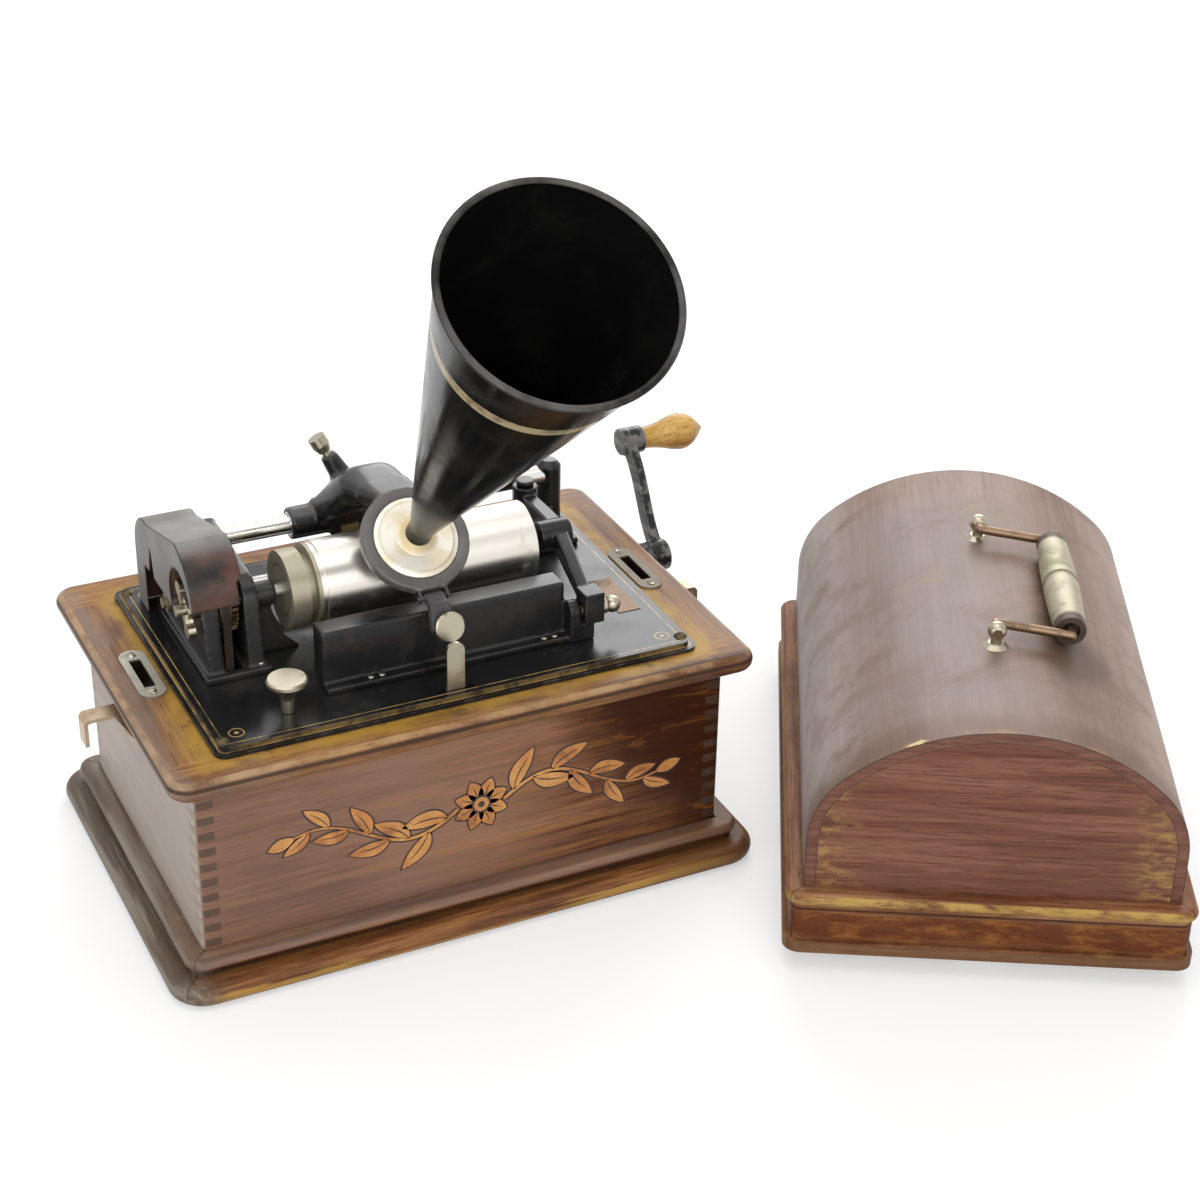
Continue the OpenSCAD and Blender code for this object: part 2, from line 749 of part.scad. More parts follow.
module gear_cover() {
  low = bed_top - 2;
  color("#1b1714") difference() {
    slab_x(cover_left, cover_right) cover_shape(0);
    slab_x(cover_left + cover_wall, cover_right - cover_wall) cover_shape(cover_wall);
    translate([cover_left + cover_wall, cover_front + cover_wall, low])
      cube([cover_right - cover_left - 2 * cover_wall, cover_back - cover_front - 2 * cover_wall, 6]);
    translate([cover_left - 1, cover_front - 1, low])
      cube([cover_right - cover_left + 2, 30, cover_lip_z - low]);
    translate([cover_left - 1, cover_front - 1, low]) cube([cover_wall + 2, 55 - cover_front, 163 - low]);
    bar_x([mandrel_y + 0.5, mandrel_z + 4], cover_left - 1, cover_left + cover_wall + 1, 17.5);
    slab_x(cover_left - 1, cover_left + cover_wall + 1) polygon([[36, 160], [41, 181], [46, 160]]);
    translate([cover_right - cover_wall - 1, cover_front - 1, low]) cube([cover_wall + 2, 90, 188 - low]);
  }
}

module pivot_screws() {
  tip_x = stand_mid + 0.8;
  nut_x = stand_left - 5;
  color("#b8b3a6") {
    bar_x(mandrel, nut_x - 5, tip_x, 3);
    difference() {
      union() {
        bar_x(mandrel, nut_x, stand_left, 6);
        for (a = [60, 240]) translate([nut_x - 1.5, mandrel_y, mandrel_z]) rotate([a, 0, 0]) {
          translate([0, 3, -2]) cube([4, 8, 4]);
          translate([2, 11, 0]) rotate([0, 90, 0]) cylinder(r = 4, h = 4, center = true);
        }
      }
      bar_x(mandrel, nut_x - 6, stand_left + 1, 3 + fit);
    }
    bar_x(feed, nut_x, tip_x, 3);
    difference() {
      bar_x(feed, stand_left - 3, stand_left, 5);
      bar_x(feed, stand_left - 4, stand_left + 1, 3 + fit);
    }
  }
}

module front_rail() {
  foot_h = 3.5;
  post_w = 14;
  color("#171310") difference() {
    union() {
      translate([rail_left, rail_front, bed_top]) cube([rail_right - rail_left, rail_t, rail_top - bed_top]);
      translate([rail_left, rail_front, rail_top - 4]) cube([rail_right - rail_left, rail_ledge, 4]);
      translate([rail_left, rail_front - 6, bed_top])
        cube([rail_right + post_w - rail_left, rail_ledge + 6, foot_h]);
      slab_x(rail_left, rail_left + 5) polygon([
        [rail_front, bed_top], [rail_front, rail_top], [rail_front + rail_ledge, rail_top],
        [rail_front + rail_ledge, bed_top]]);
      slab_x(rail_right - 5, rail_right + eps) polygon([
        [rail_front, bed_top], [rail_front, rail_top], [rail_front + rail_ledge, rail_top],
        [rail_front + rail_ledge, bed_top]]);
      translate([rail_right, latch_y - 3, bed_top]) cube([post_w, 11, latch_z - block_drop - gap - bed_top]);
      translate([rail_right, latch_y - 3, bed_top]) cube([cheek_t, 11, latch_z - bed_top]);
      bar_x([latch_y + 2.5, latch_z], rail_right, rail_right + cheek_t, 5.5);
    }
    bar_x([latch_y + 2.5, bed_top + 6], rail_right + 4, rail_right + post_w + 1, 2.5);
  }
}

module back_rod() {
  color("#b4b0a8") bar_x(rod, stand_inner, post_x, rod_r);
}

// Height of the bracket that carries the gate
gate_low = feed[1] + 7 + gap + 0.4;
gate_high = mandrel_z + 9.6;
lug_x = 76;
lug_t = 6;

module right_post() {
  color("#14120f") difference() {
    union() {
      translate([post_x, rod_y, bed_top]) cylinder(r = post_r, h = rod_z + 5.5 - bed_top);
      translate([post_x, rod_y, rod_z + 5.5 - eps]) cylinder(r1 = post_r, r2 = post_r - 3, h = 3);
      translate([post_x - 13, rod_y - 13, bed_top]) cube([26, 26, 4]);
      link_z([post_x, rod_y], [gate_x, gate_y], gate_low - 7 - gap, gate_low - gap, 12);
      translate([gate_x, gate_y, gate_low - 2]) cylinder(r = 3, h = gate_high - gate_low + 3);
      translate([gate_x, gate_y, gate_high + gap]) cylinder(r = 5, h = 3);
      bar_x(feed, lug_x, lug_x + lug_t, 7);
      translate([lug_x, feed[0] - 6.5, bed_top]) cube([lug_t, 13, feed[1] - bed_top]);
      translate([lug_x, feed[0] - 6.5, bed_top]) cube([post_x - lug_x, 13, 4.5]);
    }
    bar_x(feed, lug_x - 1, lug_x + lug_t + 1, journal_r + run);
    bar_x(rod, post_x - post_r - 1, post_x, rod_r + fit);
  }
}

// Plate of the motor frame, with the bores of its arbors
module motor_plate(x, bores) {
  color("#8d8a80") difference() {
    union() {
      slab_x(x, x + plate_t) hull() {
        translate([barrel[0], barrel[1] - 8]) circle(14);
        translate([-36, 46]) circle(8);
        translate([-44, rim_top - 14]) square([104, 14]);
      }
      translate([x - 8, -30, rim_top - 4]) cube([plate_t + 16, 12, 4]);
      translate([x - 8, 48, rim_top - 4]) cube([plate_t + 16, 12, 4]);
    }
    for (b = bores) bar_x(b[0], x - 1, x + plate_t + 1, b[1]);
    for (p = pillars) bar_x(p, x - 1, x + plate_t + 1, 2.5 + fit);
  }
}

module motor_plate_left() {
  motor_plate(plate_left, [for (a = [pulley, second, barrel, governor_at]) [a, arbor_r + run]]);
}

module motor_plate_right() {
  motor_plate(plate_right, concat([for (a = [pulley, second, barrel, governor_at]) [a, arbor_r + run]],
    [[crank, crank_r + run]]));
}

module frame_pillars() {
  color("#a09a8c") for (p = pillars) {
    bar_x(p, plate_left + plate_t, plate_right, pillar_r);
    bar_x(p, plate_left - 3, plate_right + plate_t + 3, 2.5);
    bar_x(p, plate_left - 3.5, plate_left, 4.2);
    bar_x(p, plate_right + plate_t, plate_right + plate_t + 3.5, 4.2);
  }
}

// Closed run round the two pulleys, drawn at radius r
module belt_run(r) {
  hull() {
    translate(mandrel) circle(r, $fn = 64);
    translate(pulley) circle(r, $fn = 64);
  }
}

module drive_belt() {
  color("#3a2a1e") difference() {
    slab_x(belt_x, belt_x + belt_w) belt_run(pulley_r + gap + belt_t);
    slab_x(belt_x - 1, belt_x + belt_w + 1) belt_run(pulley_r + gap);
  }
}

module mandrel_sleeve() {
  body = mandrel_right - mandrel_left;
  color("#c4bfb0") translate([mandrel_left, mandrel_y, mandrel_z]) rotate([0, 90, 0]) difference() {
    union() {
      cylinder(r1 = mandrel_r, r2 = mandrel_tip_r, h = body);
      translate([0, 0, -collar_len]) cylinder(r = collar_r, h = 10);
      translate([0, 0, -collar_len + 10 - eps]) cylinder(r = collar_r - 4, h = 4);
      translate([0, 0, -collar_len + 14 - eps]) cylinder(r = mandrel_r - 1, h = collar_len - 14 + 2 * eps);
    }
    translate([0, 0, 6])
      cylinder(r1 = mandrel_r - mandrel_wall, r2 = mandrel_tip_r - mandrel_wall, h = body - 9);
    translate([0, 0, -collar_len - 1]) cylinder(r = shaft_r + fit, h = body + collar_len + 2);
    translate([0, 0, body - 4]) cylinder(r = mandrel_tip_r - mandrel_wall - 3, h = 5);
  }
}

shaft_end = mandrel_right + 2.4;

module mandrel_shaft() {
  color("#bdb8ac") bar_x(mandrel, stand_mid + 1.1, shaft_end, shaft_r);
}

// Flanged belt pulley
module pulley_x(at) {
  bar_x(at, pulley_x, pulley_x + flange_t, pulley_r + 2);
  bar_x(at, pulley_x, pulley_x + 2 * flange_t + pulley_w, pulley_r);
  bar_x(at, pulley_x + flange_t + pulley_w, pulley_x + 2 * flange_t + pulley_w, pulley_r + 2);
}

module mandrel_pulley() {
  color("#8f8b80") difference() {
    union() {
      pulley_x(mandrel);
      gear_x(mandrel, gear_x, gear_t, feed_teeth, feed_module, -feed_slope);
      bar_x(mandrel, pulley_x, gear_x + eps, 8);
    }
    bar_x(mandrel, pulley_x - 1, gear_x + gear_t + 1, shaft_r + fit);
  }
}

module idler_gear() {
  color("#a88f4e") difference() {
    gear_x(idler, gear_x, gear_t, idler_teeth, feed_module, 180 - feed_slope + 180 / idler_teeth);
    bar_x(idler, gear_x - 1, gear_x + gear_t + 1, 2.5 + run);
  }
}

module feed_screw() {
  color("#aaa69b") {
    gear_x(feed, gear_x, gear_t, feed_teeth, feed_module,
      180 - feed_slope + (idler_teeth % 2 == 0 ? 0 : 180 / feed_teeth));
    bar_x(feed, stand_mid + 1.1, lug_x + lug_t, journal_r);
    bar_x(feed, stand_end + gap, lug_x - gap, screw_r);
  }
}

module spring_barrel() {
  color("#b09a58") difference() {
    union() {
      gear_x(barrel, train_x, train_t, train_teeth, 1, bearing(barrel, second));
      bar_x(barrel, drum_x - eps, drum_x + drum_len, drum_r);
    }
    bar_x(barrel, drum_x - 2, drum_x + drum_len + 1, drum_r - drum_wall);
    bar_x(barrel, train_x - 1, drum_x, arbor_r + run);
  }
}

module barrel_cover() {
  color("#b09a58") difference() {
    union() {
      bar_x(barrel, drum_x + drum_len, drum_x + drum_len + 2, drum_r);
      bar_x(barrel, drum_x + drum_len - 2, drum_x + drum_len + eps, drum_r - drum_wall - fit);
    }
    bar_x(barrel, drum_x, drum_x + drum_len + 3, arbor_r + run);
  }
}

// Flat spiral band from the arbor's hub to the drum's wall
module mainspring() {
  steps = spring_turns * 20;
  inner = 8;
  outer = drum_r - drum_wall - gap - spring_t;
  spiral = [for (i = [0:steps]) [inner + (outer - inner) * i / steps, i * 18]];
  outline = concat([for (s = spiral) s[0] * [cos(s[1]), sin(s[1])]],
    [for (i = [steps:-1:0]) (spiral[i][0] + spring_t) * [cos(spiral[i][1]), sin(spiral[i][1])]]);
  color("#5c6470") slab_x(drum_x, drum_x + drum_len - 5) translate(barrel) polygon(outline);
}

module winding_arbor() {
  color("#9c988c") {
    bar_x(barrel, plate_left, plate_right + plate_t, arbor_r);
    bar_x(barrel, drum_x + gap, drum_x + drum_len - 3, 7);
    gear_x(barrel, wind_x, wind_t, wind_teeth, wind_module, bearing(barrel, crank) + 180 / wind_teeth);
  }
}

module second_wheel() {
  color("#b09a58") {
    bar_x(second, plate_left, plate_right + plate_t, arbor_r);
    gear_x(second, second_x, 3, second_teeth, second_module, bearing(second, pulley));
    gear_x(second, train_x, train_t, train_pinion, 1, bearing(second, barrel) + 180 / train_pinion);
  }
}

module motor_pulley() {
  color("#8f8b80") {
    pulley_x(pulley);
    bar_x(pulley, pulley_x, plate_right + plate_t, arbor_r);
    gear_x(pulley, second_x, 3, second_pinion, second_module, bearing(pulley, second) + 180 / second_pinion);
    gear_x(pulley, governor_x, 3, governor_teeth, governor_module, governor_angle);
  }
}

module governor() {
  weight_r = 4;
  orbit = governor_r - weight_r;
  color("#a88f4e") {
    bar_x(governor_at, plate_left, governor_x + eps, 2);
    bar_x(governor_at, plate_left, plate_left + plate_t, arbor_r);
    bar_x(governor_at, plate_right, plate_right + plate_t, arbor_r);
    bar_x(governor_at, governor_x + 3 - eps, plate_right + eps, 2);
    gear_x(governor_at, governor_x, 3, governor_pinion, governor_module,
      governor_angle + 180 + 180 / governor_pinion);
    bar_x(governor_at, -50, -46, 6);
    bar_x(governor_at, -24, -20, 6);
    bar_x(governor_at, -20 - eps, -18, 9);
    for (a = [0, 120, 240]) {
      off = [cos(a), sin(a)];
      translate([-35, governor_at[0] + orbit * off[0], governor_at[1] + orbit * off[1]]) sphere(r = weight_r);
      bar_x(governor_at + 5 * off, -50, -20, 0.8);
      link_x(governor_at + 4.6 * off, governor_at + orbit * off, -36.5, -33.5, 1.6);
    }
  }
}

module crank_shaft() {
  color("#77736a") {
    bar_x(crank, wind_x - 2, crank_arm_x - 6, crank_r);
    gear_x(crank, wind_x, wind_t, wind_pinion, wind_module, bearing(crank, barrel));
  }
}

// Outline of the crank's arm: an S-shaped bar between its hub and its eye
module crank_arm_shape() {
  along = [cos(crank_angle), sin(crank_angle)];
  across = [-sin(crank_angle), cos(crank_angle)];
  bow = 9;
  way = [crank, crank + 0.34 * crank_throw * along - bow * across,
    crank + 0.66 * crank_throw * along + bow * across, crank_tip];
  half = 4.2;
  steps = 18;
  line = [for (i = [0:steps]) curve(way, i / steps)];
  side = [for (i = [0:steps])
    let (d = curve(way, min(1, i / steps + 0.01)) - curve(way, max(0, i / steps - 0.01)))
    half * [-d[1], d[0]] / norm(d)];
  polygon(concat([for (i = [0:steps]) line[i] + side[i]], [for (i = [steps:-1:0]) line[i] - side[i]]));
}

module crank_arm() {
  color("#1a1816") difference() {
    union() {
      slab_x(crank_arm_x, crank_arm_x + crank_arm_t) crank_arm_shape();
      bar_x(crank, crank_arm_x - 14, crank_arm_x + crank_arm_t + 1, 9);
      bar_x(crank_tip, crank_arm_x - 2, crank_arm_x + crank_arm_t + 6, 8);
      bar_x(crank_tip, crank_arm_x, crank_grip_x + crank_grip_len - 8, crank_pin_r);
    }
    bar_x(crank, crank_arm_x - 15, crank_arm_x - 6, crank_r + fit);
  }
}

crank_grip_x = crank_arm_x + crank_arm_t + 6 + gap;

// Pear-shaped handle: its radius swells from the ferrule to the end
module crank_grip() {
  steps = 28;
  wood = [for (i = [0:steps]) let (t = i / steps, s = sin(180 * pow(t, 1.6)))
    [crank_grip_r * (0.58 * (1 - pow(t, 6)) + 0.43 * pow(s, 1.4)), t * crank_grip_len]];
  color("#b9812f") translate([crank_grip_x, crank_tip[0], crank_tip[1]]) rotate([0, 90, 0]) difference() {
    rotate_extrude() polygon(concat([[0, 0]], wood));
    translate([0, 0, -1]) cylinder(r = crank_pin_r + run, h = crank_grip_len - 6);
  }
}

module carriage_bush() {
  color("#a88f4e") difference() {
    bar_x(rod, sleeve_left, sleeve_left + sleeve_len, bush_r);
    bar_x(rod, sleeve_left - 1, sleeve_left + sleeve_len + 1, rod_r + run);
  }
}

// Line of the screw that sets the carriage's height, and where its boss ends
set_screw_at = [-22, 43, 214];
set_screw_turn = [-12, -28, 0];

// Rounded crest of the carriage arm, over the back of the mandrel
module arm_hump(r) {
  for (x = [-15, -1]) translate([x, 18, 204.5]) rotate([0, 90, 0]) sphere(r = r, $fn = 28);
}

module carriage_arm() {
  hump_r = 10.5;
  color("#1a1715") difference() {
    union() {
      bar_x(rod, sleeve_left, sleeve_left + sleeve_len, sleeve_r);
      on_speaker() translate([0, 0, ring_low]) cylinder(r = ring_r, h = ring_t);
      hull() {
        bar_x(rod + [0, 3], -30, 8, 8, $fn = 32);
        arm_hump(hump_r);
      }
      hull() {
        arm_hump(hump_r);
        on_speaker() translate([0, ring_r - 5, ring_low + ring_t / 2]) rotate([0, 90, 0])
          cylinder(r = ring_t / 2, h = 22, center = true, $fn = 24);
      }
      translate(set_screw_at) rotate(set_screw_turn) translate([0, 0, -24])
        cylinder(r1 = 7, r2 = 5.2, h = 24);
      for (s = [-1, 1]) on_speaker()
        translate([s * (lift_w / 2 + gap + 1.3), -ring_r - 1, ring_low + ring_t / 2])
        cube([2.6, 9, ring_t - 1], center = true);
      translate([-22, rod_y - 9, rod_z - 16]) cube([18, 5, 16]);
    }
    bar_x(rod, sleeve_left - 1, sleeve_left + sleeve_len + 1, bush_r + run);
    on_speaker() translate([0, 0, ring_low - 20]) cylinder(r = speaker_r + fit, h = 70);
    bar_x([10, 186], -40, 20, 11);
    translate(set_screw_at) rotate(set_screw_turn) translate([0, 0, -14]) cylinder(r = 2.5 + fit, h = 20);
    bar_x(lift_pin, speaker_x - lift_w, speaker_x + lift_w, 1.5 + run);
  }
}

// Hinge of the lift lever, between the ears at the ring's lower edge
lift_w = 11;
lift_pin = mandrel + (ring_low + ring_t / 2) * [-cos(speaker_tilt), sin(speaker_tilt)]
  - (ring_r + 3.2) * [sin(speaker_tilt), cos(speaker_tilt)];
lift_elbow = [rail_front - 3.5, rail_top + 4];
lift_foot = [rail_front - 6.3, rail_top - 6];

module adjusting_screw() {
  color("#bdb59a") {
    translate(set_screw_at) rotate(set_screw_turn) {
      translate([0, 0, -13]) cylinder(r = 2.5, h = 16);
      translate([0, 0, 1]) cylinder(r1 = 3.4, r2 = 4.8, h = 4);
      translate([0, 0, 5 - eps]) cylinder(r = 4.8, h = 5);
    }
  }
}

// Spring and threaded pad that ride on the feed screw from above
module half_nut() {
  pad = [feed[0] + 0.5, feed[1] + 4];
  spring_y = rod_y - 9;
  color("#a88f4e") difference() {
    union() {
      translate([-20, pad[0] - 5, pad[1] - 2]) cube([14, 5.3, 7]);
      translate([-20, pad[0] - 5, pad[1] + 0.6]) cube([14, 10, 4.4]);
      translate([-18, spring_y - 1.2, pad[1] + 2]) cube([10, 1.2, rod_z - 2 - pad[1] - 2]);
    }
    bar_x(feed, -30, 10, screw_r + gap);
  }
}

module reproducer() {
  color("#c9c1a2") on_speaker() difference() {
    union() {
      translate([0, 0, ring_low - 1]) cylinder(r = speaker_r, h = ring_t + 1);
      translate([0, 0, ring_top - eps])
        cylinder(r1 = speaker_r, r2 = speaker_r - 3, h = speaker_face - ring_top);
      translate([0, 0, speaker_face - eps]) cylinder(r1 = 11, r2 = neck_r, h = 3.5);
      translate([0, 0, speaker_face - eps]) cylinder(r = neck_r, h = neck_len);
    }
    translate([0, 0, ring_top - 2]) cylinder(r = neck_r - 1.2, h = neck_len + 20);
    translate([0, 0, ring_low - 2]) cylinder(r = speaker_r - 4, h = 3.4);
  }
}

horn_low = speaker_face + 3.5 + gap;

horn_socket = neck_len - 3.5;
horn_tip_r = neck_r + run;
horn_edge = horn_len - horn_roll;
horn_seam_r = horn_tip_r + (horn_r - horn_tip_r) * (horn_tube_len - horn_socket) / (horn_edge - horn_socket);

// Bell of the horn, from the seam to the rolled edge
module horn() {
  color("#12100e") on_speaker() translate([0, 0, horn_low]) rotate_extrude() {
    polygon([
      [horn_seam_r, horn_tube_len], [horn_seam_r + horn_wall, horn_tube_len],
      [horn_r + horn_wall, horn_edge], [horn_r, horn_edge]]);
    translate([horn_r + horn_wall / 2, horn_edge]) circle(horn_roll);
  }
}

// Lower tube of the horn: a straight socket over the reproducer's neck, then the cone up to the seam
module horn_tube() {
  color("#12100e") on_speaker() translate([0, 0, horn_low]) rotate_extrude() polygon([
    [horn_tip_r, 0], [horn_tip_r + horn_wall, 0], [horn_tip_r + horn_wall, horn_socket],
    [horn_seam_r + horn_wall, horn_tube_len], [horn_seam_r, horn_tube_len], [horn_tip_r, horn_socket]]);
}

module lift_lever() {
  half = lift_w / 2;
  color("#191614") {
    link_x(lift_pin, lift_elbow, speaker_x - half + 0.5, speaker_x + half - 0.5, 4.6);
    link_x(lift_elbow, lift_foot, speaker_x - half, speaker_x + half, 5);
    bar_x(lift_pin, speaker_x - half - gap - 2.6, speaker_x + half + gap + 2.6, 1.5);
  }
}

// Round nickel button standing square on the lever's foot
module lift_knob() {
  lean = bearing(lift_foot, lift_elbow);
  color("#c2b99c") translate([speaker_x + 2.5, lift_foot[0], lift_foot[1]])
    rotate([lean, 0, 0]) translate([0, 0, 2.5]) {
    cylinder(r = 3, h = 1.6);
    translate([0, 0, 1.6 - eps]) cylinder(r = 8, h = 2);
    translate([0, 0, 3.6 - 2 * eps]) cylinder(r1 = 8, r2 = 7.2, h = 0.8);
  }
}

module end_gate() {
  x0 = gate_x - gate_t / 2;
  x1 = gate_x + gate_t / 2;
  color("#16130f") difference() {
    union() {
      translate([gate_x, gate_y, gate_low]) cylinder(r = 7, h = gate_high - gate_low);
      link_x([gate_y - 3, mandrel_z], mandrel, x0, x1, 12);
      hull() {
        bar_x(mandrel, x0 + 0.5, x1 - 0.5, 5.5, $fn = 32);
        bar_x([latch_y + 6, latch_z + 7.5], block_x + 1, block_x + 7, 3.6, $fn = 32);
      }
      bar_x(mandrel, shaft_end + 6, x1 + 2, 8);
      bar_x(mandrel, shaft_end + gap, shaft_end + 6 + eps, 3);
      translate([block_x, latch_y - block[1] / 2, latch_z - block_drop]) cube(block);
    }
    translate([gate_x, gate_y, gate_low - 1]) cylinder(r = 3 + run, h = gate_high - gate_low + 2);
    bar_x([latch_y, latch_z], block_x - 1, block_x + block[0] + 1, 2.5 + run);
  }
}

module latch_bolt() {
  end = block_x + block[0];
  color("#c8c2b0") {
    bar_x([latch_y, latch_z], block_x - gap, end + 7, 2.5);
    bar_x([latch_y, latch_z], end + gap, end + 3, 4.2);
    translate([end + 7, latch_y, latch_z]) sphere(r = 4.6);
  }
}

module start_lever() {
  t = 2;
  pivot_z = rim_top - 6;
  top_z = bed_top + start_h - start_w / 2;
  color("#b9b19a") {
    translate([start_x, start_y + t / 2, 0]) rotate([90, 0, 0])
      linear_extrude(t) translate([-start_w / 2, pivot_z])
      square([start_w, top_z - pivot_z]);
    translate([start_x, start_y + t / 2, top_z]) rotate([90, 0, 0]) cylinder(r = start_w / 2, h = t);
    translate([start_x, start_y + t / 2, pivot_z]) rotate([90, 0, 0]) cylinder(r = start_w / 2, h = t);
    translate([start_x, start_y + t / 2 - eps, pivot_z]) rotate([-90, 0, 0]) cylinder(r = 2, h = 7.4);
  }
}

module speed_screw() {
  head_h = 3.4;
  neck_r = 3.5;
  neck_top = 7;
  flare = speed_h - head_h - neck_top;
  color("#c4bda6") translate([speed_x, speed_y, 0]) {
    translate([0, 0, rim_top - 18]) cylinder(r = 2.5, h = 18 + bed_t + speed_h - head_h);
    translate([0, 0, bed_top + gap]) rotate_extrude() polygon(concat([[0, 0], [neck_r, 0]],
      [for (i = [0:8]) [neck_r + (speed_head_r - 1 - neck_r) * pow(i / 8, 1.7), neck_top + i * flare / 8]],
      [[speed_head_r, speed_h - head_h + 0.8], [speed_head_r, speed_h - 1], [speed_head_r - 1, speed_h - gap],
        [0, speed_h - gap]]));
  }
}

// Flat latch lever: an arm from its pivot, a bolt through the board and a curled finger tab
module latch_lever(side) {
  tab_drop = 12;
  head_y = -5;
  head_w = 11;
  curl_r = 1.5;
  bolt_end = slot_x - 2;
  bend_x = lever_reach - lever_t - curl_r;
  latch_pivot(side, 0);
  link_z([side * lever_x, lever_y], [side * (lever_x + 5), head_y], lever_z, lever_z + lever_t, 7);
  translate([side * (bolt_end + bend_x) / 2, head_y, lever_z + lever_t / 2])
    cube([bend_x - bolt_end, head_w, lever_t], center = true);
  translate([side * bend_x, head_y, lever_z - curl_r]) rotate([90, 0, 0]) difference() {
    cylinder(r = lever_t + curl_r, h = head_w, center = true);
    cylinder(r = curl_r, h = head_w + 1, center = true);
    translate([side > 0 ? -10 : 0, -10, -head_w]) cube([10, 20, 2 * head_w]);
    translate([-10, -10, -head_w]) cube([20, 10, 2 * head_w]);
  }
  translate([side * (lever_reach - lever_t / 2), head_y, lever_z - curl_r - tab_drop / 2])
    cube([lever_t, head_w, tab_drop], center = true);
}

module latch_lever_left() {
  color("#8d7a52") latch_lever(-1);
}

module latch_lever_right() {
  color("#8d7a52") latch_lever(1);
}

// Section of the lid's moulding: step, hollow and bead
module lid_section_shape() {
  step_h = 7;
  bead_r = 3.5;
  inner = lid_section - 2.5;
  square([lid_section, step_h]);
  translate([0, step_h - eps]) square([inner, lid_base_h - step_h - bead_r]);
  translate([0, lid_base_h - 2 * bead_r]) square([lid_section - bead_r, 2 * bead_r]);
  translate([lid_section - bead_r, lid_base_h - bead_r]) circle(bead_r);
}

module lid_moulding() {
  color("#5a2f1b") lid_place() translate([0, 0, tongue_drop])
    moulding(lid_l, lid_w, lid_section) lid_section_shape();
}

// Three-centred arch over straight sides, drawn in by inset and standing on z = low
module arch_solid(length, inset, low) {
  half = lid_body_w / 2 - inset;
  rise = arch_h - inset;
  hr = haunch_r - inset;
  cr = crown_r - inset;
  turn = asin((half - hr) / (cr - hr));
  edge = cr * sin(turn);
  edge_z = rise - cr + cr * cos(turn);
  translate([-length / 2, -half, low]) cube([length, 2 * half, lid_spring - low]);
  translate([-length / 2, 0, lid_spring]) {
    translate([0, -edge, -eps]) cube([length, 2 * edge, edge_z + 2 * eps]);
    for (y = [-1, 1]) intersection() {
      translate([0, y * (half - hr), 0]) rotate([0, 90, 0]) cylinder(r = hr, h = length, $fn = 144);
      translate([0, -half, -eps]) cube([length, 2 * half, hr + 1]);
    }
    intersection() {
      translate([0, 0, rise - cr]) rotate([0, 90, 0]) cylinder(r = cr, h = length, $fn = 200);
      translate([0, -edge, edge_z]) cube([length, 2 * edge, rise]);
    }
  }
}

module lid_dome() {
  color("#5f2f1e") lid_place() difference() {
    arch_solid(lid_body_l, 0, tongue_drop + rebate_h);
    arch_solid(lid_body_l + 2, dome_t, tongue_drop + rebate_h - 1);
  }
}

module lid_end_panels() {
  color("#5b2c1b") lid_place() for (side = [-1, 1]) translate([side * (lid_body_l - end_t) / 2, 0, 0])
    arch_solid(end_t, dome_t, tongue_drop + rebate_h);
}

module lid_tongues() {
  plate_h = 40;
  color("#a39d8c") lid_place() for (side = [-1, 1]) difference() {
    translate([side * tongue_x - tongue_t / 2, -tongue_w / 2, 0])
      cube([tongue_t, tongue_w, tongue_drop + plate_h]);
    translate([side * tongue_x - tongue_t, -8, 3]) cube([2 * tongue_t, 16, 5]);
  }
}

module handle_posts() {
  color("#b5a87a") lid_place() for (side = [-1, 1]) translate([side * ball_x, 0, 0]) difference() {
    union() {
      translate([0, 0, lid_top - 0.3]) cylinder(r1 = 7, r2 = 4, h = 2.3);
      translate([0, 0, lid_top]) cylinder(r = 3, h = bail_z - lid_top);
      translate([0, 0, bail_z]) sphere(r = ball_r);
    }
    translate([-8, 0, bail_z]) rotate([0, 90, 0]) cylinder(r = bail_r + run, h = 16);
    translate([0, 0, lid_top - crown_r]) rotate([0, 90, 0])
      cylinder(r = crown_r, h = 40, center = true, $fn = 200);
  }
}

module handle_bail() {
  half = bail_span / 2;
  color("#8c8672") lid_place() translate([0, 0, bail_z]) rotate([bail_drop, 0, 0]) {
    for (side = [-1, 1]) {
      translate([side * half, 0, 0]) rotate([90, 0, 0]) cylinder(r = bail_r, h = bail_reach);
      translate([side * half, 0, 0]) sphere(r = bail_r);
      translate([side * half, -bail_reach, 0]) sphere(r = bail_r);
      translate([side > 0 ? half : -half - 12, 0, 0]) rotate([0, 90, 0]) cylinder(r = bail_r, h = 12);
    }
    translate([-half, -bail_reach, 0]) rotate([0, 90, 0]) cylinder(r = bail_r, h = bail_span);
  }
}

// Barrel grip: two swelling halves with a band between them
module handle_grip() {
  steps = 12;
  half = grip_l / 2;
  band = 3;
  swell = [for (i = [0:steps]) let (t = i / steps)
    [grip_r * (0.86 + 0.14 * sin(90 * (1 - t))), band + (half - band) * t]];
  color("#7f7a60") lid_place() translate([0, 0, bail_z]) rotate([bail_drop, 0, 0])
    translate([0, -bail_reach, 0]) rotate([0, 90, 0]) difference() {
      union() {
        for (m = [0, 1]) mirror([0, 0, m])
          rotate_extrude() polygon(concat([[0, band - eps]], swell, [[0, half]]));
        cylinder(r = grip_r - 1, h = 2 * band, center = true);
      }
      cylinder(r = bail_r + run, h = grip_l + 2, center = true);
      for (m = [0, 1]) mirror([0, 0, m]) translate([0, 0, half - 4]) cylinder(r = bail_r + 2.5, h = 5);
    }
}

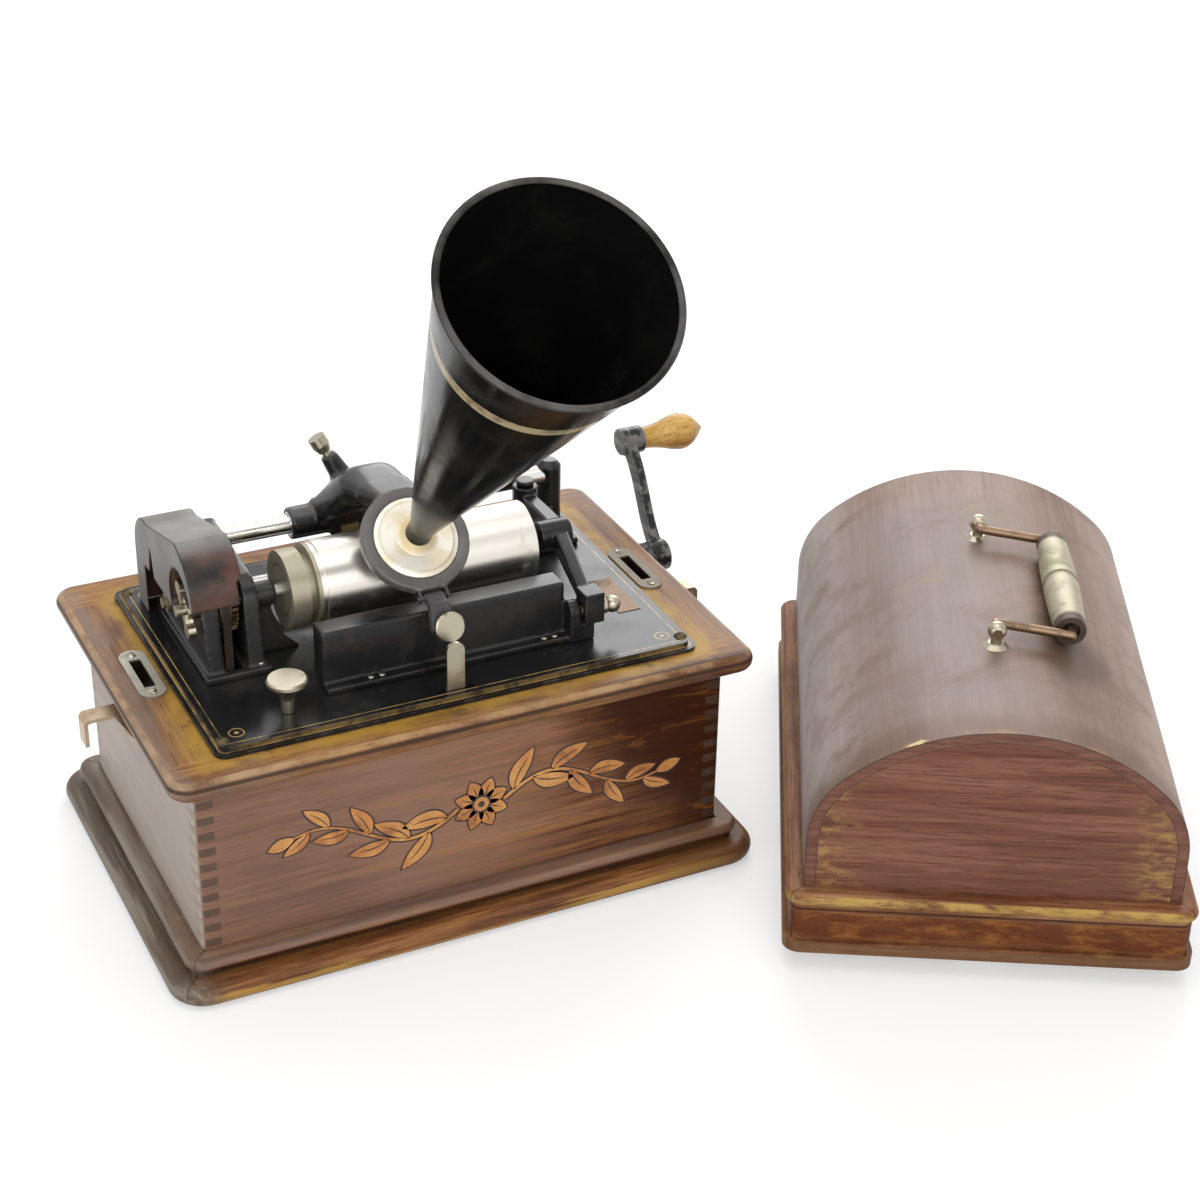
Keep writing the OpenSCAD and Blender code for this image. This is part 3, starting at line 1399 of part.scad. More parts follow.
base_moulding();
bottom_board();
front_board();
back_board();
left_board();
right_board();
rim_front();
rim_back();
rim_left();
rim_right();
slot_plates();
bedplate();
bed_screws();
left_standard();
gear_cover();
pivot_screws();
front_rail();
back_rod();
right_post();
motor_plate_left();
motor_plate_right();
frame_pillars();
drive_belt();
mandrel_sleeve();
mandrel_shaft();
mandrel_pulley();
idler_gear();
feed_screw();
spring_barrel();
barrel_cover();
mainspring();
winding_arbor();
second_wheel();
motor_pulley();
governor();
crank_shaft();
crank_arm();
crank_grip();
carriage_bush();
carriage_arm();
adjusting_screw();
half_nut();
reproducer();
horn();
horn_tube();
lift_lever();
lift_knob();
end_gate();
latch_bolt();
start_lever();
speed_screw();
latch_lever_left();
latch_lever_right();
lid_moulding();
lid_dome();
lid_end_panels();
lid_tongues();
handle_posts();
handle_bail();
handle_grip();
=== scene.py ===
# %% [markdown]
# # A cylinder phonograph, dressed for the camera
# The solids of the machine come from CAD with every piece in place. This lesson loads them, sets
# up a small studio, and then gives each piece its finish: varnished wood, black enamel, nickel
# and brass. What is too fine for CAD, such as screw heads, painted lines and ornament, is made
# along the way.

# %% Load the frame
import bpy
import bmesh
import math
from mathutils import Matrix, Vector


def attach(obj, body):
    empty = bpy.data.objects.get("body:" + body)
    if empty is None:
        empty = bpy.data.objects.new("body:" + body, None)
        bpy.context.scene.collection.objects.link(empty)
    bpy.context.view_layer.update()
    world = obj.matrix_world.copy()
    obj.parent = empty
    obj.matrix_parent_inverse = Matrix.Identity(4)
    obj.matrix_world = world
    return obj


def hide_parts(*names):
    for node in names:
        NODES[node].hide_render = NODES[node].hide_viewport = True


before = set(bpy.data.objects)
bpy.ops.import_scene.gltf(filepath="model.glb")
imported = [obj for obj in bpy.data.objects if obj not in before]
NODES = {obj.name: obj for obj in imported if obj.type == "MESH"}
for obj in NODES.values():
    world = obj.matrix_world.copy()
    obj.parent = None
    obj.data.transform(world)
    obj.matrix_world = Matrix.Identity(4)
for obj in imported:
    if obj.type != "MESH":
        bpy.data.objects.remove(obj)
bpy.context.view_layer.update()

# %% [markdown]
# ## The camera
# The photograph was taken from the front left and from above, with a lens of about 73 mm on a 36
# mm frame. The camera is turned by its azimuth, elevation and a slight roll, as a tripod head
# would be. Its three axes are worked out as vectors, because the columns of a camera's matrix are
# just these axes.

# %% Camera
EYE = Vector((-0.4032, -1.0519, 0.7646))
AZIMUTH, ELEVATION, ROLL = math.radians(-26.19), math.radians(28.95), math.radians(1.03)
LENS_MM, FRAME_MM, SHIFT = 72.6, 36.0, 0.007
NEAREST, FARTHEST = 0.05, 50.0


def photo_camera():
    level = math.cos(ELEVATION)
    back = Vector((math.sin(AZIMUTH) * level, -math.cos(AZIMUTH) * level, math.sin(ELEVATION)))
    right = (-back).cross(Vector((0, 0, 1))).normalized()
    up = right.cross(-back)
    c, s = math.cos(ROLL), math.sin(ROLL)
    right, up = right * c + up * s, up * c - right * s
    data = bpy.data.cameras.new("photo_camera")
    data.lens, data.sensor_width, data.shift_x = LENS_MM, FRAME_MM, SHIFT
    data.clip_start, data.clip_end = NEAREST, FARTHEST
    camera = bpy.data.objects.new("photo_camera", data)
    camera.matrix_world = Matrix.Translation(EYE) @ Matrix((right, up, back)).transposed().to_4x4()
    bpy.context.scene.collection.objects.link(camera)
    bpy.context.scene.camera = camera
    return camera


camera = photo_camera()
print("camera at", [round(x, 3) for x in camera.location])

# %% [markdown]
# ## Writing shaders as sums
# A material is a graph of nodes, but most of what we want to say is arithmetic: this mask times
# that noise. A small class wraps an output socket, so that + - and * on sockets add Math nodes.
# The reflected forms let a plain number come first, as in 1 - mask.

# %% Socket arithmetic
class Sock:
    """An output socket that can be used in Python expressions."""

    def __init__(self, tree, socket):
        self.tree, self.socket = tree, socket

    def _math(self, operation, *values):
        settings = {"operation": operation}
        return Graph.node(self.tree, "ShaderNodeMath", settings, dict(enumerate(values)))["Value"]

    def __add__(self, other): return self._math("ADD", self, other)
    def __radd__(self, other): return self._math("ADD", other, self)
    def __sub__(self, other): return self._math("SUBTRACT", self, other)
    def __rsub__(self, other): return self._math("SUBTRACT", other, self)
    def __mul__(self, other): return self._math("MULTIPLY", self, other)
    def __rmul__(self, other): return self._math("MULTIPLY", other, self)
    def __pow__(self, other): return self._math("POWER", self, other)
    def __abs__(self): return self._math("ABSOLUTE", self)
    def __lt__(self, other): return self._math("LESS_THAN", self, other)
    def __gt__(self, other): return self._math("GREATER_THAN", self, other)
    def low(self, other): return self._math("MINIMUM", self, other)
    def high(self, other): return self._math("MAXIMUM", self, other)
    def clamp(self): return self.high(0.0).low(1.0)


print("sockets can be added, multiplied and compared")

# %% [markdown]
# ## A material under construction
# Every other node comes from one method, which takes the node's type, its settings, and the
# values or links of its sockets. A few short methods on top of it name the nodes that come up
# again and again: coordinates, noise, a smooth step, a mix of two colours.

# %% Material graph
class Graph:
    """A material under construction."""

    def __init__(self, name):
        self.material = bpy.data.materials.new(name)
        self.material.use_nodes = True
        self.tree = self.material.node_tree
        self.tree.nodes.clear()
        self.out = self.tree.nodes.new("ShaderNodeOutputMaterial")

    @staticmethod
    def node(tree, kind, settings=None, inputs=None):
        made = tree.nodes.new(kind)
        for key, value in (settings or {}).items():
            if key == "stops":
                ramp = made.color_ramp.elements
                while len(ramp) < len(value):
                    ramp.new(0.5)
                for element, (place, colour) in zip(ramp, value):
                    element.position, element.color = place, (*colour, 1.0)
            else:
                setattr(made, key, value)
        for key, value in (inputs or {}).items():
            if isinstance(value, Sock):
                tree.links.new(value.socket, made.inputs[key])
            elif isinstance(value, tuple) and len(value) == 3 and made.inputs[key].type == "RGBA":
                made.inputs[key].default_value = (*value, 1.0)
            else:
                made.inputs[key].default_value = value
        return {o.name: Sock(tree, o) for o in made.outputs if o.enabled}

    def add(self, kind, settings=None, **inputs):
        named = {key.replace("_", " "): value for key, value in inputs.items()}
        return self.node(self.tree, kind, settings, named)

    def coords(self):
        return self.add("ShaderNodeTexCoord")["Object"]

    def xyz(self, vector=None):
        parts = self.add("ShaderNodeSeparateXYZ", Vector=vector or self.coords())
        return parts["X"], parts["Y"], parts["Z"]

    def moved(self, scale=(1, 1, 1), turn=(0, 0, 0), shift=(0, 0, 0), vector=None):
        return self.add("ShaderNodeMapping", Vector=vector or self.coords(), Scale=scale,
                        Rotation=turn, Location=shift)["Vector"]

    def noise(self, scale, detail=4.0, rough=0.55, distort=0.0, vector=None):
        return self.add("ShaderNodeTexNoise", Vector=vector or self.coords(), Scale=scale,
                        Detail=detail, Roughness=rough, Distortion=distort)["Fac"]

    def ramp(self, value, stops):
        return self.add("ShaderNodeValToRGB", {"stops": stops}, Fac=value)["Color"]

    def step(self, value, low, high):
        """Rises smoothly from 0 at low to 1 at high."""
        return self.add("ShaderNodeMapRange", {"interpolation_type": "SMOOTHSTEP"}, Value=value,
                        From_Min=low, From_Max=high)["Result"]

    def mix(self, mask, a, b):
        """Colour a, or colour b where the mask is 1."""
        inputs = {0: mask, 6: a, 7: b}
        return self.node(self.tree, "ShaderNodeMix", {"data_type": "RGBA"}, inputs)["Result"]

    def vector(self, operation, *values):
        settings, inputs = {"operation": operation}, dict(enumerate(values))
        return self.node(self.tree, "ShaderNodeVectorMath", settings, inputs)

    def bump(self, height, strength, distance):
        return self.add("ShaderNodeBump", Height=height, Strength=strength,
                        Distance=distance)["Normal"]

    def surface(self, **inputs):
        shader = self.add("ShaderNodeBsdfPrincipled", None, **inputs)["BSDF"]
        self.tree.links.new(shader.socket, self.out.inputs["Surface"])
        return self.material


print("materials can be written as graphs")

# %% [markdown]
# ## Masks for age and painted light
# Age shows in particular places, and so do the light and shade that are painted into the colour:
# on edges, in corners, on faces that look up or aside, along a line. Each such place is a mask, a
# value from 0 to 1 that says how much of the next colour to lay on. A Bevel node finds edges and an
# Ambient Occlusion node finds corners, and the rest is measured in the machine's own metres.

# %% Masks
class Finish(Graph):
    """A material with the masks that an old surface needs, and that painted light and shade use
    too.
    """

    def fall(self, value, low, high):
        """Falls smoothly from 1 at low to 0 at high."""
        return 1 - self.step(value, low, high)

    def band(self, value, low, full, ebb, high):
        """1 from full to ebb, and 0 below low and above high."""
        return self.step(value, low, full) * self.fall(value, ebb, high)

    def line(self, value, middle, core, reach):
        """1 within core of the middle, and 0 beyond reach."""
        return self.fall(abs(value - middle), core, reach)

    def streaks(self, scale, detail=4.0, rough=0.65, distort=0.0, turn=(0, 0, 0), vector=None):
        """A noise drawn out along the axis with the smallest scale."""
        return self.noise(1.0, detail, rough, distort, self.moved(scale, turn, vector=vector))

    def edges(self, reach, low=0.015, high=0.2):
        """1 on sharp edges and 0 on flat faces: a rounded normal compared with the true one."""
        soft = self.add("ShaderNodeBevel", {"samples": 6}, Radius=reach)["Normal"]
        true = self.add("ShaderNodeNewGeometry")["True Normal"]
        return self.step(1 - self.vector("DOT_PRODUCT", soft, true)["Value"], low, high)

    def crevice(self, reach):
        """1 in tight corners, where dirt gathers and shade falls, and 0 in the open."""
        return 1 - self.add("ShaderNodeAmbientOcclusion", {"samples": 4}, Distance=reach)["AO"]

    def facing(self):
        """The three parts of the surface's normal."""
        return self.xyz(self.add("ShaderNodeNewGeometry")["Normal"])

    def along(self, origin, axis):
        """Distance along an axis through an origin, and distance from that axis."""
        point = self.vector("SUBTRACT", self.coords(), tuple(origin))["Vector"]
        reach = self.vector("DOT_PRODUCT", point, tuple(axis))["Value"]
        out = self.vector("CROSS_PRODUCT", point, tuple(axis))["Vector"]
        return reach, self.vector("LENGTH", out)["Value"]


def shade(colour, share):
    """The same colour, darker."""
    return tuple(share * part for part in colour)


print("masks ready")

# %% [markdown]
# ## A white studio
# The machine stands on a white sheet in even light. The sheet scatters light as card does. For
# the camera and for reflections it also glows: a little near the machine, where the soft shadow
# has to stay, and fully further out, where it meets the sky. The sky is white to the same rays,
# and lights the machine more gently than that.

# %% Floor and sky
CARD_GREY, CARD_ROUGH = (0.62, 0.62, 0.62), 0.9
NEAR_GLOW, GLOW_FROM, GLOW_FULL = 0.44, 0.7, 1.6
SKY_LIGHT, SKY_WHITE = 0.42, 1.0
FLOOR_HALF, FLOOR_Z, STAGE_CENTRE = 4.0, -0.0004, (0.1, 0.0, 0.0)


def finish_mesh(name, bm, material, smooth=True):
    """Turns a bmesh into an object at the origin, with its place in its mesh."""
    bmesh.ops.remove_doubles(bm, verts=bm.verts, dist=1e-6)
    bmesh.ops.recalc_face_normals(bm, faces=bm.faces)
    mesh = bpy.data.meshes.new(name)
    bm.to_mesh(mesh)
    bm.free()
    for polygon in mesh.polygons:
        polygon.use_smooth = smooth
    piece = bpy.data.objects.new(name, mesh)
    bpy.context.scene.collection.objects.link(piece)
    mesh.materials.append(material)
    return piece


def seen_rays(tree):
    """1 for rays that show the studio itself: to the camera, in a reflection or through glass."""
    path = Graph.node(tree, "ShaderNodeLightPath")
    return path["Is Camera Ray"].high(path["Is Glossy Ray"]).high(path["Is Transmission Ray"])


def white_card():
    g = Finish("white_card")
    away = g.along(STAGE_CENTRE, (0.0, 0.0, 1.0))[1]
    glow = NEAR_GLOW + g.step(away, GLOW_FROM, GLOW_FULL) * (1.0 - NEAR_GLOW)
    return g.surface(Base_Color=CARD_GREY, Roughness=CARD_ROUGH, Specular_IOR_Level=0.0,
                     Emission_Color=g.mix(seen_rays(g.tree) * glow, (0, 0, 0), (1, 1, 1)),
                     Emission_Strength=1.0)


def lay_floor():
    bm = bmesh.new()
    bmesh.ops.create_grid(bm, x_segments=1, y_segments=1, size=FLOOR_HALF)
    bmesh.ops.translate(bm, vec=(0, 0, FLOOR_Z), verts=bm.verts)
    floor = finish_mesh("floor_sheet", bm, white_card(), smooth=False)
    return floor


def white_sky():
    sky = bpy.data.worlds.new("studio_sky")
    sky.use_nodes = True
    tree = sky.node_tree
    tree.nodes.clear()
    light, white = (Graph.node(tree, "ShaderNodeBackground", None,
                               {"Color": (1.0, 1.0, 1.0), "Strength": strength})["Background"]
                    for strength in (SKY_LIGHT, SKY_WHITE))
    inputs = {0: seen_rays(tree), 1: light, 2: white}
    blend = Graph.node(tree, "ShaderNodeMixShader", None, inputs)["Shader"]
    tree.links.new(blend.socket, tree.nodes.new("ShaderNodeOutputWorld").inputs["Surface"])
    bpy.context.scene.world = sky
    return sky


bpy.context.scene.view_settings.view_transform = "Standard"
print("studio:", lay_floor().name, "under", white_sky().name)

# %% [markdown]
# ## Soft boxes
# Varnish and enamel look like themselves only when they mirror something bright. A large soft box
# behind on the right puts the sheen on the wood and the enamel, one overhead and a broad one in
# front light the whole machine evenly, and a weak one lifts the left side. Each is an area lamp,
# turned so that its face looks at its aim.

# %% Lamps
LAMPS = (  # name, place, aim, width and height in metres, watts
    ("box_back_right", (1.15, 1.35, 1.15), (0.1, 0.0, 0.12), (1.5, 1.1), 22.0),
    ("box_overhead", (-0.2, -0.1, 2.1), (0.05, 0.0, 0.1), (2.2, 1.8), 17.0),
    ("box_left", (-1.9, -0.5, 0.9), (0.0, 0.0, 0.1), (1.0, 1.2), 8.0),
    ("box_front", (-0.5, -2.2, 1.2), (0.1, 0.0, 0.1), (2.4, 1.4), 26.0),
)
for name, place, aim, (width, height), watts in LAMPS:
    lamp = bpy.data.lights.new(name, "AREA")
    lamp.shape, lamp.size, lamp.size_y, lamp.energy = "RECTANGLE", width, height, watts
    box = bpy.data.objects.new(name, lamp)
    box.location = place
    box.rotation_euler = (Vector(aim) - Vector(place)).to_track_quat("-Z", "Y").to_euler()
    bpy.context.scene.collection.objects.link(box)
print("studio lamps:", len(LAMPS))

# %% [markdown]
# ## Varnished wood
# The case is stained and varnished hardwood, more than a century old. Its look has layers: broad
# figure along the grain, fine lines, open pores, dark blotches, dirt and painted shade in the
# corners, and pale worn edges. Each grain layer is a noise stretched along the board, so first the
# coordinates are turned until X runs with the grain. A moulding that runs round a box is mitred, so
# on its short sides X and Y change places, with a thin dark line between.

# %% Wood
LONG, DEEP = 0.0, math.pi / 2


def wood(name, tones, turn=LONG, centre=(0.0, 0.0), halves=None, worn=(0.42, 0.24, 0.09),
         edge=0.0035, wear=0.6, rough=0.34, blot=0.5, coat=0.06, gloss=0.2, pore=0.6, extra=None):
    """Wood in three tones. `halves` is half the size of a mitred frame, `extra` adds more age, and
    painted light where a piece has it.
    """
    deep, mid, pale = tones
    g = Finish(name)
    c, s = math.cos(turn), math.sin(turn)
    shift = (-c * centre[0] - s * centre[1], s * centre[0] - c * centre[1], 0.0)
    g.local = x, y, z = g.xyz(g.moved(turn=(0, 0, -turn), shift=shift))
    mitre = 0.0
    if halves:
        past = (halves[1] - abs(y)) - (halves[0] - abs(x))
        side = past > 0.0
        mitre = g.fall(abs(past), 0.0003, 0.0009)
        x, y = x + side * (y - x), y + side * (x - y)
    grain = g.add("ShaderNodeCombineXYZ", X=x, Y=y, Z=z)["Vector"]
    figure = g.streaks((5, 60, 60), 5.0, 0.6, 0.8, vector=grain)
    lines = g.streaks((12, 420, 420), 4.0, 0.65, 0.3, vector=grain)
    pores = g.streaks((70, 1500, 1500), 2.0, 0.5, vector=grain)
    blotch = g.noise(14.0, 4.0, 0.6, 0.4)
    colour = g.ramp(figure * 0.55 + lines * 0.45, [(0.36, deep), (0.5, mid), (0.63, pale)])
    colour = g.mix(g.step(pores, 0.54, 0.66) * pore, colour, shade(deep, 0.8))
    colour = g.mix(g.step(blotch, 0.5, 0.74) * blot, colour, shade(deep, 0.6))
    rub = g.edges(edge) * g.step(g.noise(55.0, 5.0, 0.65), 0.62 - wear * 0.3, 0.75 - wear * 0.2)
    colour = g.mix(rub * wear, colour, worn)
    if extra:
        colour = extra(g, colour)
    # Darker in tight corners by ambient occlusion: partly dirt, partly painted shade.
    dirt_and_shade = g.step(g.crevice(0.006), 0.35, 0.75)
    colour = g.mix((dirt_and_shade * 0.75 + mitre * 0.5).clamp(), colour, shade(deep, 0.35))
    height = figure * 0.3 + lines * 0.3 + pores * 0.4
    return g.surface(Base_Color=colour, Roughness=rough + blotch * 0.18 + rub * 0.1 + lines * 0.1,
                     Coat_Weight=coat, Coat_Roughness=0.3, Specular_IOR_Level=gloss,
                     Normal=g.bump(height, 0.14, 0.0006))


print("wood recipe ready")

# %% [markdown]
# ## Dressing a piece
# A CAD piece whose shape is right keeps its mesh and only gets a better material, in each of its
# material slots. Two pieces of plain wood come first: the board under the motor, and the turned
# grip of the crank, amber from handling.

# %% Dressing
dressed = set()


def dress(finish, *names):
    """Gives the named CAD pieces a finish."""
    for name in names:
        slots = NODES[name].data.materials
        if not slots:
            slots.append(finish)
        for index in range(len(slots)):
            slots[index] = finish
    dressed.update(names)
    print(finish.name, "on", ", ".join(names))
    return finish


dress(wood("plain_wood", ((0.22, 0.14, 0.08), (0.36, 0.25, 0.15), (0.46, 0.34, 0.22)), rough=0.6),
      "bottom_board")
dress(wood("amber_grip_wood", ((0.30, 0.13, 0.025), (0.60, 0.34, 0.085), (0.78, 0.52, 0.18)),
           wear=0.2, rough=0.2),
      "crank_grip")

# %% [markdown]
# ## The boards of the cabinet
# The front board is lighter in the middle and orange in streaks, keeps its dark stain on the right,
# and is painted with a pinkish sheen on the left. The side boards are painted pale with a grey
# sheen.
# Their corners are finger joints, so a finger's end shows the other board's grain: the face a point
# lies on decides which colour it gets, and the front board's ends are paled like that sheen.

# %% Cabinet boards
SLOT_X, SLOT_HALF_X, SLOT_HALF_Y = 0.1405, 0.0036, 0.0152
# The nearly black colour painted inside the tongue slots, as their shade.
SLOT_SHADE = (0.010, 0.007, 0.005)


def front_tones_and_sheen(g, colour):
    x, y, z = g.local
    uneven = g.noise(9.0, 3.0, 0.6) - 0.5
    dark = g.step(x + uneven * 0.12 + (z - 0.07) * 0.8, 0.05, 0.125)
    # A painted sheen: towards the left the board is paled to a pinkish grey.
    haze_and_sheen = g.fall(x + uneven * 0.10, -0.08, 0.05) * 0.5
    glow = g.fall(abs(x + 0.005) + uneven * 0.08, 0.02, 0.085) * 0.45
    streak = g.step(g.streaks((7, 40, 190), distort=0.3), 0.5, 0.68)
    glint = g.step(g.streaks((24, 60, 110), 5.0, distort=0.5), 0.54, 0.68)
    colour = g.mix(glow, colour, (0.43, 0.24, 0.155))
    colour = g.mix(streak * 0.55, colour, (0.40, 0.175, 0.05))
    colour = g.mix(haze_and_sheen, colour, (0.29, 0.185, 0.145))
    colour = g.mix(dark * 0.94, colour, (0.036, 0.008, 0.002))
    colour = g.mix(dark * glint * 0.6, colour, (0.29, 0.10, 0.018))
    # The board's end faces, seen on the sides, are paled like the painted sheen there.
    nx, ny, nz = g.facing()
    return g.mix(g.step(abs(nx), 0.5, 0.9) * 0.8, colour, (0.40, 0.33, 0.28))


def mortise(g):
    """1 inside the two slots that take the lid's tongues, whose walls are painted nearly black as
    shade.
    """
    x, y, z = g.xyz()
    return (abs(abs(x) - SLOT_X) < SLOT_HALF_X) * (abs(y) < SLOT_HALF_Y)


def side_ends_and_sheen(g, colour):
    x, y, z = g.xyz()
    nx, ny, nz = g.facing()
    outer = g.step(abs(nx), 0.5, 0.9)
    finger = g.mix(g.step(x, 0.0, 0.1), (0.10, 0.060, 0.044), (0.030, 0.012, 0.006))
    colour = g.mix((1 - outer) * 0.85, colour, finger)
    # A painted sheen: the outer faces are paled to grey in clouds.
    colour = g.mix(outer * (0.4 + 0.35 * g.noise(12.0, 3.0)), colour, (0.56, 0.50, 0.45))
    return g.mix(mortise(g), colour, SLOT_SHADE)


dress(wood("case_long_wood", ((0.065, 0.018, 0.008), (0.235, 0.10, 0.05), (0.38, 0.19, 0.10)), LONG,
           blot=0.35, wear=0.4, coat=0.03, gloss=0.12, extra=front_tones_and_sheen),
      "front_board", "back_board")
dress(wood("case_side_wood", ((0.10, 0.06, 0.04), (0.26, 0.17, 0.115), (0.40, 0.29, 0.21)), DEEP,
           wear=0.4, extra=side_ends_and_sheen),
      "left_board", "right_board")

# %% [markdown]
# ## The base moulding
# The moulding at the foot takes the knocks. Its front has rubbed to orange along the nose and in
# streaks above it, the groove is dark with dirt and painted shade, a painted highlight runs along
# the top, the left end is painted with a grey sheen, and the right end is dark. All of these follow
# the moulding's section, so they are bands by height, times masks by how far along the machine they
# are.

# %% Base moulding
BASE_HALVES = (0.165, 0.115)


def plinth_age_and_sheen(g, colour):
    x, y, z = g.local
    wander = g.noise(18.0, 4.0) * 0.03
    ends = g.step(abs(x) + wander, 0.150, 0.172)
    grain = g.streaks((9, 160, 160), rough=0.6, distort=0.2)
    across = g.streaks((160, 9, 160), rough=0.6, distort=0.2)
    nose = g.band(z, 0.0010, 0.0030, 0.0075, 0.0100)
    groove = g.band(z, 0.0121, 0.0126, 0.0158, 0.0172)
    colour = g.mix(g.step(grain, 0.52, 0.66) * (1 - ends) * 0.65, colour, (0.44, 0.19, 0.035))
    colour = g.mix(nose * g.step(grain, 0.46, 0.58) * (1 - ends) * 0.7, colour, (0.56, 0.33, 0.08))
    # A painted highlight along the top.
    colour = g.mix(g.step(z, 0.0175, 0.0190) * 0.4, colour, (0.33, 0.25, 0.21))
    # Darker in the groove: dirt and painted shade.
    colour = g.mix(groove * 0.85, colour, (0.022, 0.009, 0.004))
    colour = g.mix(g.step(x + wander, 0.085, 0.15) * 0.55, colour, (0.085, 0.036, 0.014))
    # A painted grey sheen on the left end, streaked across the grain.
    painted_grey_sheen = g.mix(g.step(across, 0.40, 0.62), (0.10, 0.088, 0.07), (0.27, 0.252, 0.215))
    return g.mix(ends * 0.75 * g.fall(x, 0.0, 0.05), colour, painted_grey_sheen)


dress(wood("plinth_wood", ((0.045, 0.012, 0.005), (0.20, 0.075, 0.027), (0.37, 0.17, 0.055)), LONG,
           halves=BASE_HALVES, wear=0.7, edge=0.005, worn=(0.40, 0.195, 0.05), extra=plinth_age_and_sheen),
      "base_moulding")

# %% [markdown]
# ## The rim round the bed
# Four rails frame the bedplate. They are ochre beside it, where the varnish has gone, and dusty
# towards the outer edge, where the left rail is also painted with a grey sheen. A painted highlight
# runs along the top of the nose, and a dark line of dirt and painted shade along its fine groove.
# The distance from the bedplate's edge drives most of it: the larger of two one-way distances gives
# a rectangle, and a noise makes it wander.

# %% Rim
BED_MID_Y, BED_NEAR_X, BED_NEAR_Y = -0.003, 0.131, 0.091
QUIRK_Z = 0.1264


def rim_age_and_sheen(g, colour):
    x, y, z = g.xyz()
    out = (abs(x) - BED_NEAR_X).high(abs(y - BED_MID_Y) - BED_NEAR_Y)
    wander = (g.noise(30.0, 4.0, 0.6) - 0.5) * 0.024
    patch = g.step(g.noise(38.0, 5.0, 0.65), 0.36, 0.6)
    near = g.fall(out + wander, 0.003, 0.013)
    colour = g.mix(near * (0.35 + patch * 0.5), colour, (0.44, 0.25, 0.035))
    soot = g.step(g.noise(52.0, 5.0, 0.7), 0.52, 0.66) * g.fall(out, 0.004, 0.012)
    colour = g.mix(soot * 0.65, colour, (0.075, 0.045, 0.022))
    # Dust towards the outer edge, paler on the left rail, where a grey sheen is painted over it.
    dust = g.mix(g.step(x, -0.13, 0.0), (0.28, 0.21, 0.17), (0.17, 0.10, 0.075))
    colour = g.mix(g.step(out + wander, 0.012, 0.024) * 0.55, colour, dust)
    # A painted highlight along the top of the nose.
    lit = g.band(z, 0.1272, 0.1284, 0.1296, 0.1299)
    colour = g.mix(lit * patch * 0.7, colour, (0.50, 0.33, 0.18))
    # A dark line along the groove in the nose: dirt and painted shade.
    colour = g.mix(g.line(z, QUIRK_Z, 0.0006, 0.0013) * 0.85, colour, (0.035, 0.015, 0.007))
    return g.mix(mortise(g), colour, SLOT_SHADE)


dress(wood("rim_long_wood", ((0.065, 0.018, 0.006), (0.25, 0.105, 0.036), (0.42, 0.22, 0.065)),
           LONG, wear=0.8, edge=0.005, worn=(0.46, 0.27, 0.08), extra=rim_age_and_sheen),
      "rim_front", "rim_back")
dress(wood("rim_side_wood", ((0.065, 0.020, 0.008), (0.24, 0.11, 0.042), (0.40, 0.225, 0.075)),
           DEEP, wear=0.8, edge=0.005, worn=(0.42, 0.29, 0.12), extra=rim_age_and_sheen),
      "rim_left", "rim_right")

# %% [markdown]
# ## The dome of the lid
# The dome is bent wood with dulled, hazy varnish under a painted grey sheen, which is paler down
# both sides; it is warmer on the right, stained in patches and rubbed to ochre near its front edge.
# The lid
# stands at an angle beside the machine, so its wood is measured in the lid's own turned
# coordinates:
# x along the lid from its middle, y across it.

# %% Lid dome
LID_TURN, LID_CENTRE = math.radians(60.8), (0.293, -0.1176)
TO_LID = (0, 0, -LID_TURN)
SPILL_X, SPILL_Y = -0.052, -0.036
CHIP_X, CHIP_Y = -0.1455, 0.043


def dome_haze_and_sheen(g, colour):
    """Hazy varnish with a painted grey sheen over the top, and a paler painted sheen down both
    sides.
    """
    x, y, z = g.local
    cloud = g.noise(11.0, 4.0, 0.6)
    haze_and_sheen = g.fall(abs(x + 0.01), 0.095, 0.148) * g.fall(abs(y - 0.012), 0.03, 0.10)
    # Greyer on the left, where the sheen is painted, and warmer on the right.
    film = g.mix(g.step(y, -0.03, 0.02), (0.235, 0.16, 0.125), (0.225, 0.186, 0.170))
    colour = g.mix(haze_and_sheen * (0.35 + cloud * 0.5), colour, film)
    # A paler painted sheen down both sides.
    side_sheen = g.step(abs(y), 0.052, 0.092) * (0.2 + cloud * 0.8)
    pale = g.mix(g.step(y, -0.01, 0.01), (0.47, 0.345, 0.285), (0.44, 0.385, 0.365))
    return g.mix(side_sheen, colour, pale)


def dome_stains(g, colour):
    """Dark runs along the grain, cloudy spots, one spill and a dark front edge."""
    x, y, z = g.local
    cloud = g.noise(11.0, 4.0, 0.6)
    runs = g.step(g.streaks((12, 34, 34), 5.0, 0.65, 0.5, TO_LID), 0.50, 0.70)
    colour = g.mix(runs * 0.6, colour, (0.155, 0.082, 0.052))
    clouds = g.step(g.noise(19.0, 5.0, 0.65, 0.6), 0.47, 0.66)
    colour = g.mix(clouds * 0.5, colour, (0.165, 0.092, 0.062))
    spill = abs(x - SPILL_X) * 0.55 + abs(y - SPILL_Y) + (cloud - 0.5) * 0.05
    colour = g.mix(g.fall(spill, 0.012, 0.036) * 0.8, colour, (0.085, 0.045, 0.026))
    brink = g.fall(x + 0.150 + (cloud - 0.5) * 0.05, 0.006, 0.030)
    return g.mix(brink * 0.7, colour, (0.125, 0.062, 0.036))


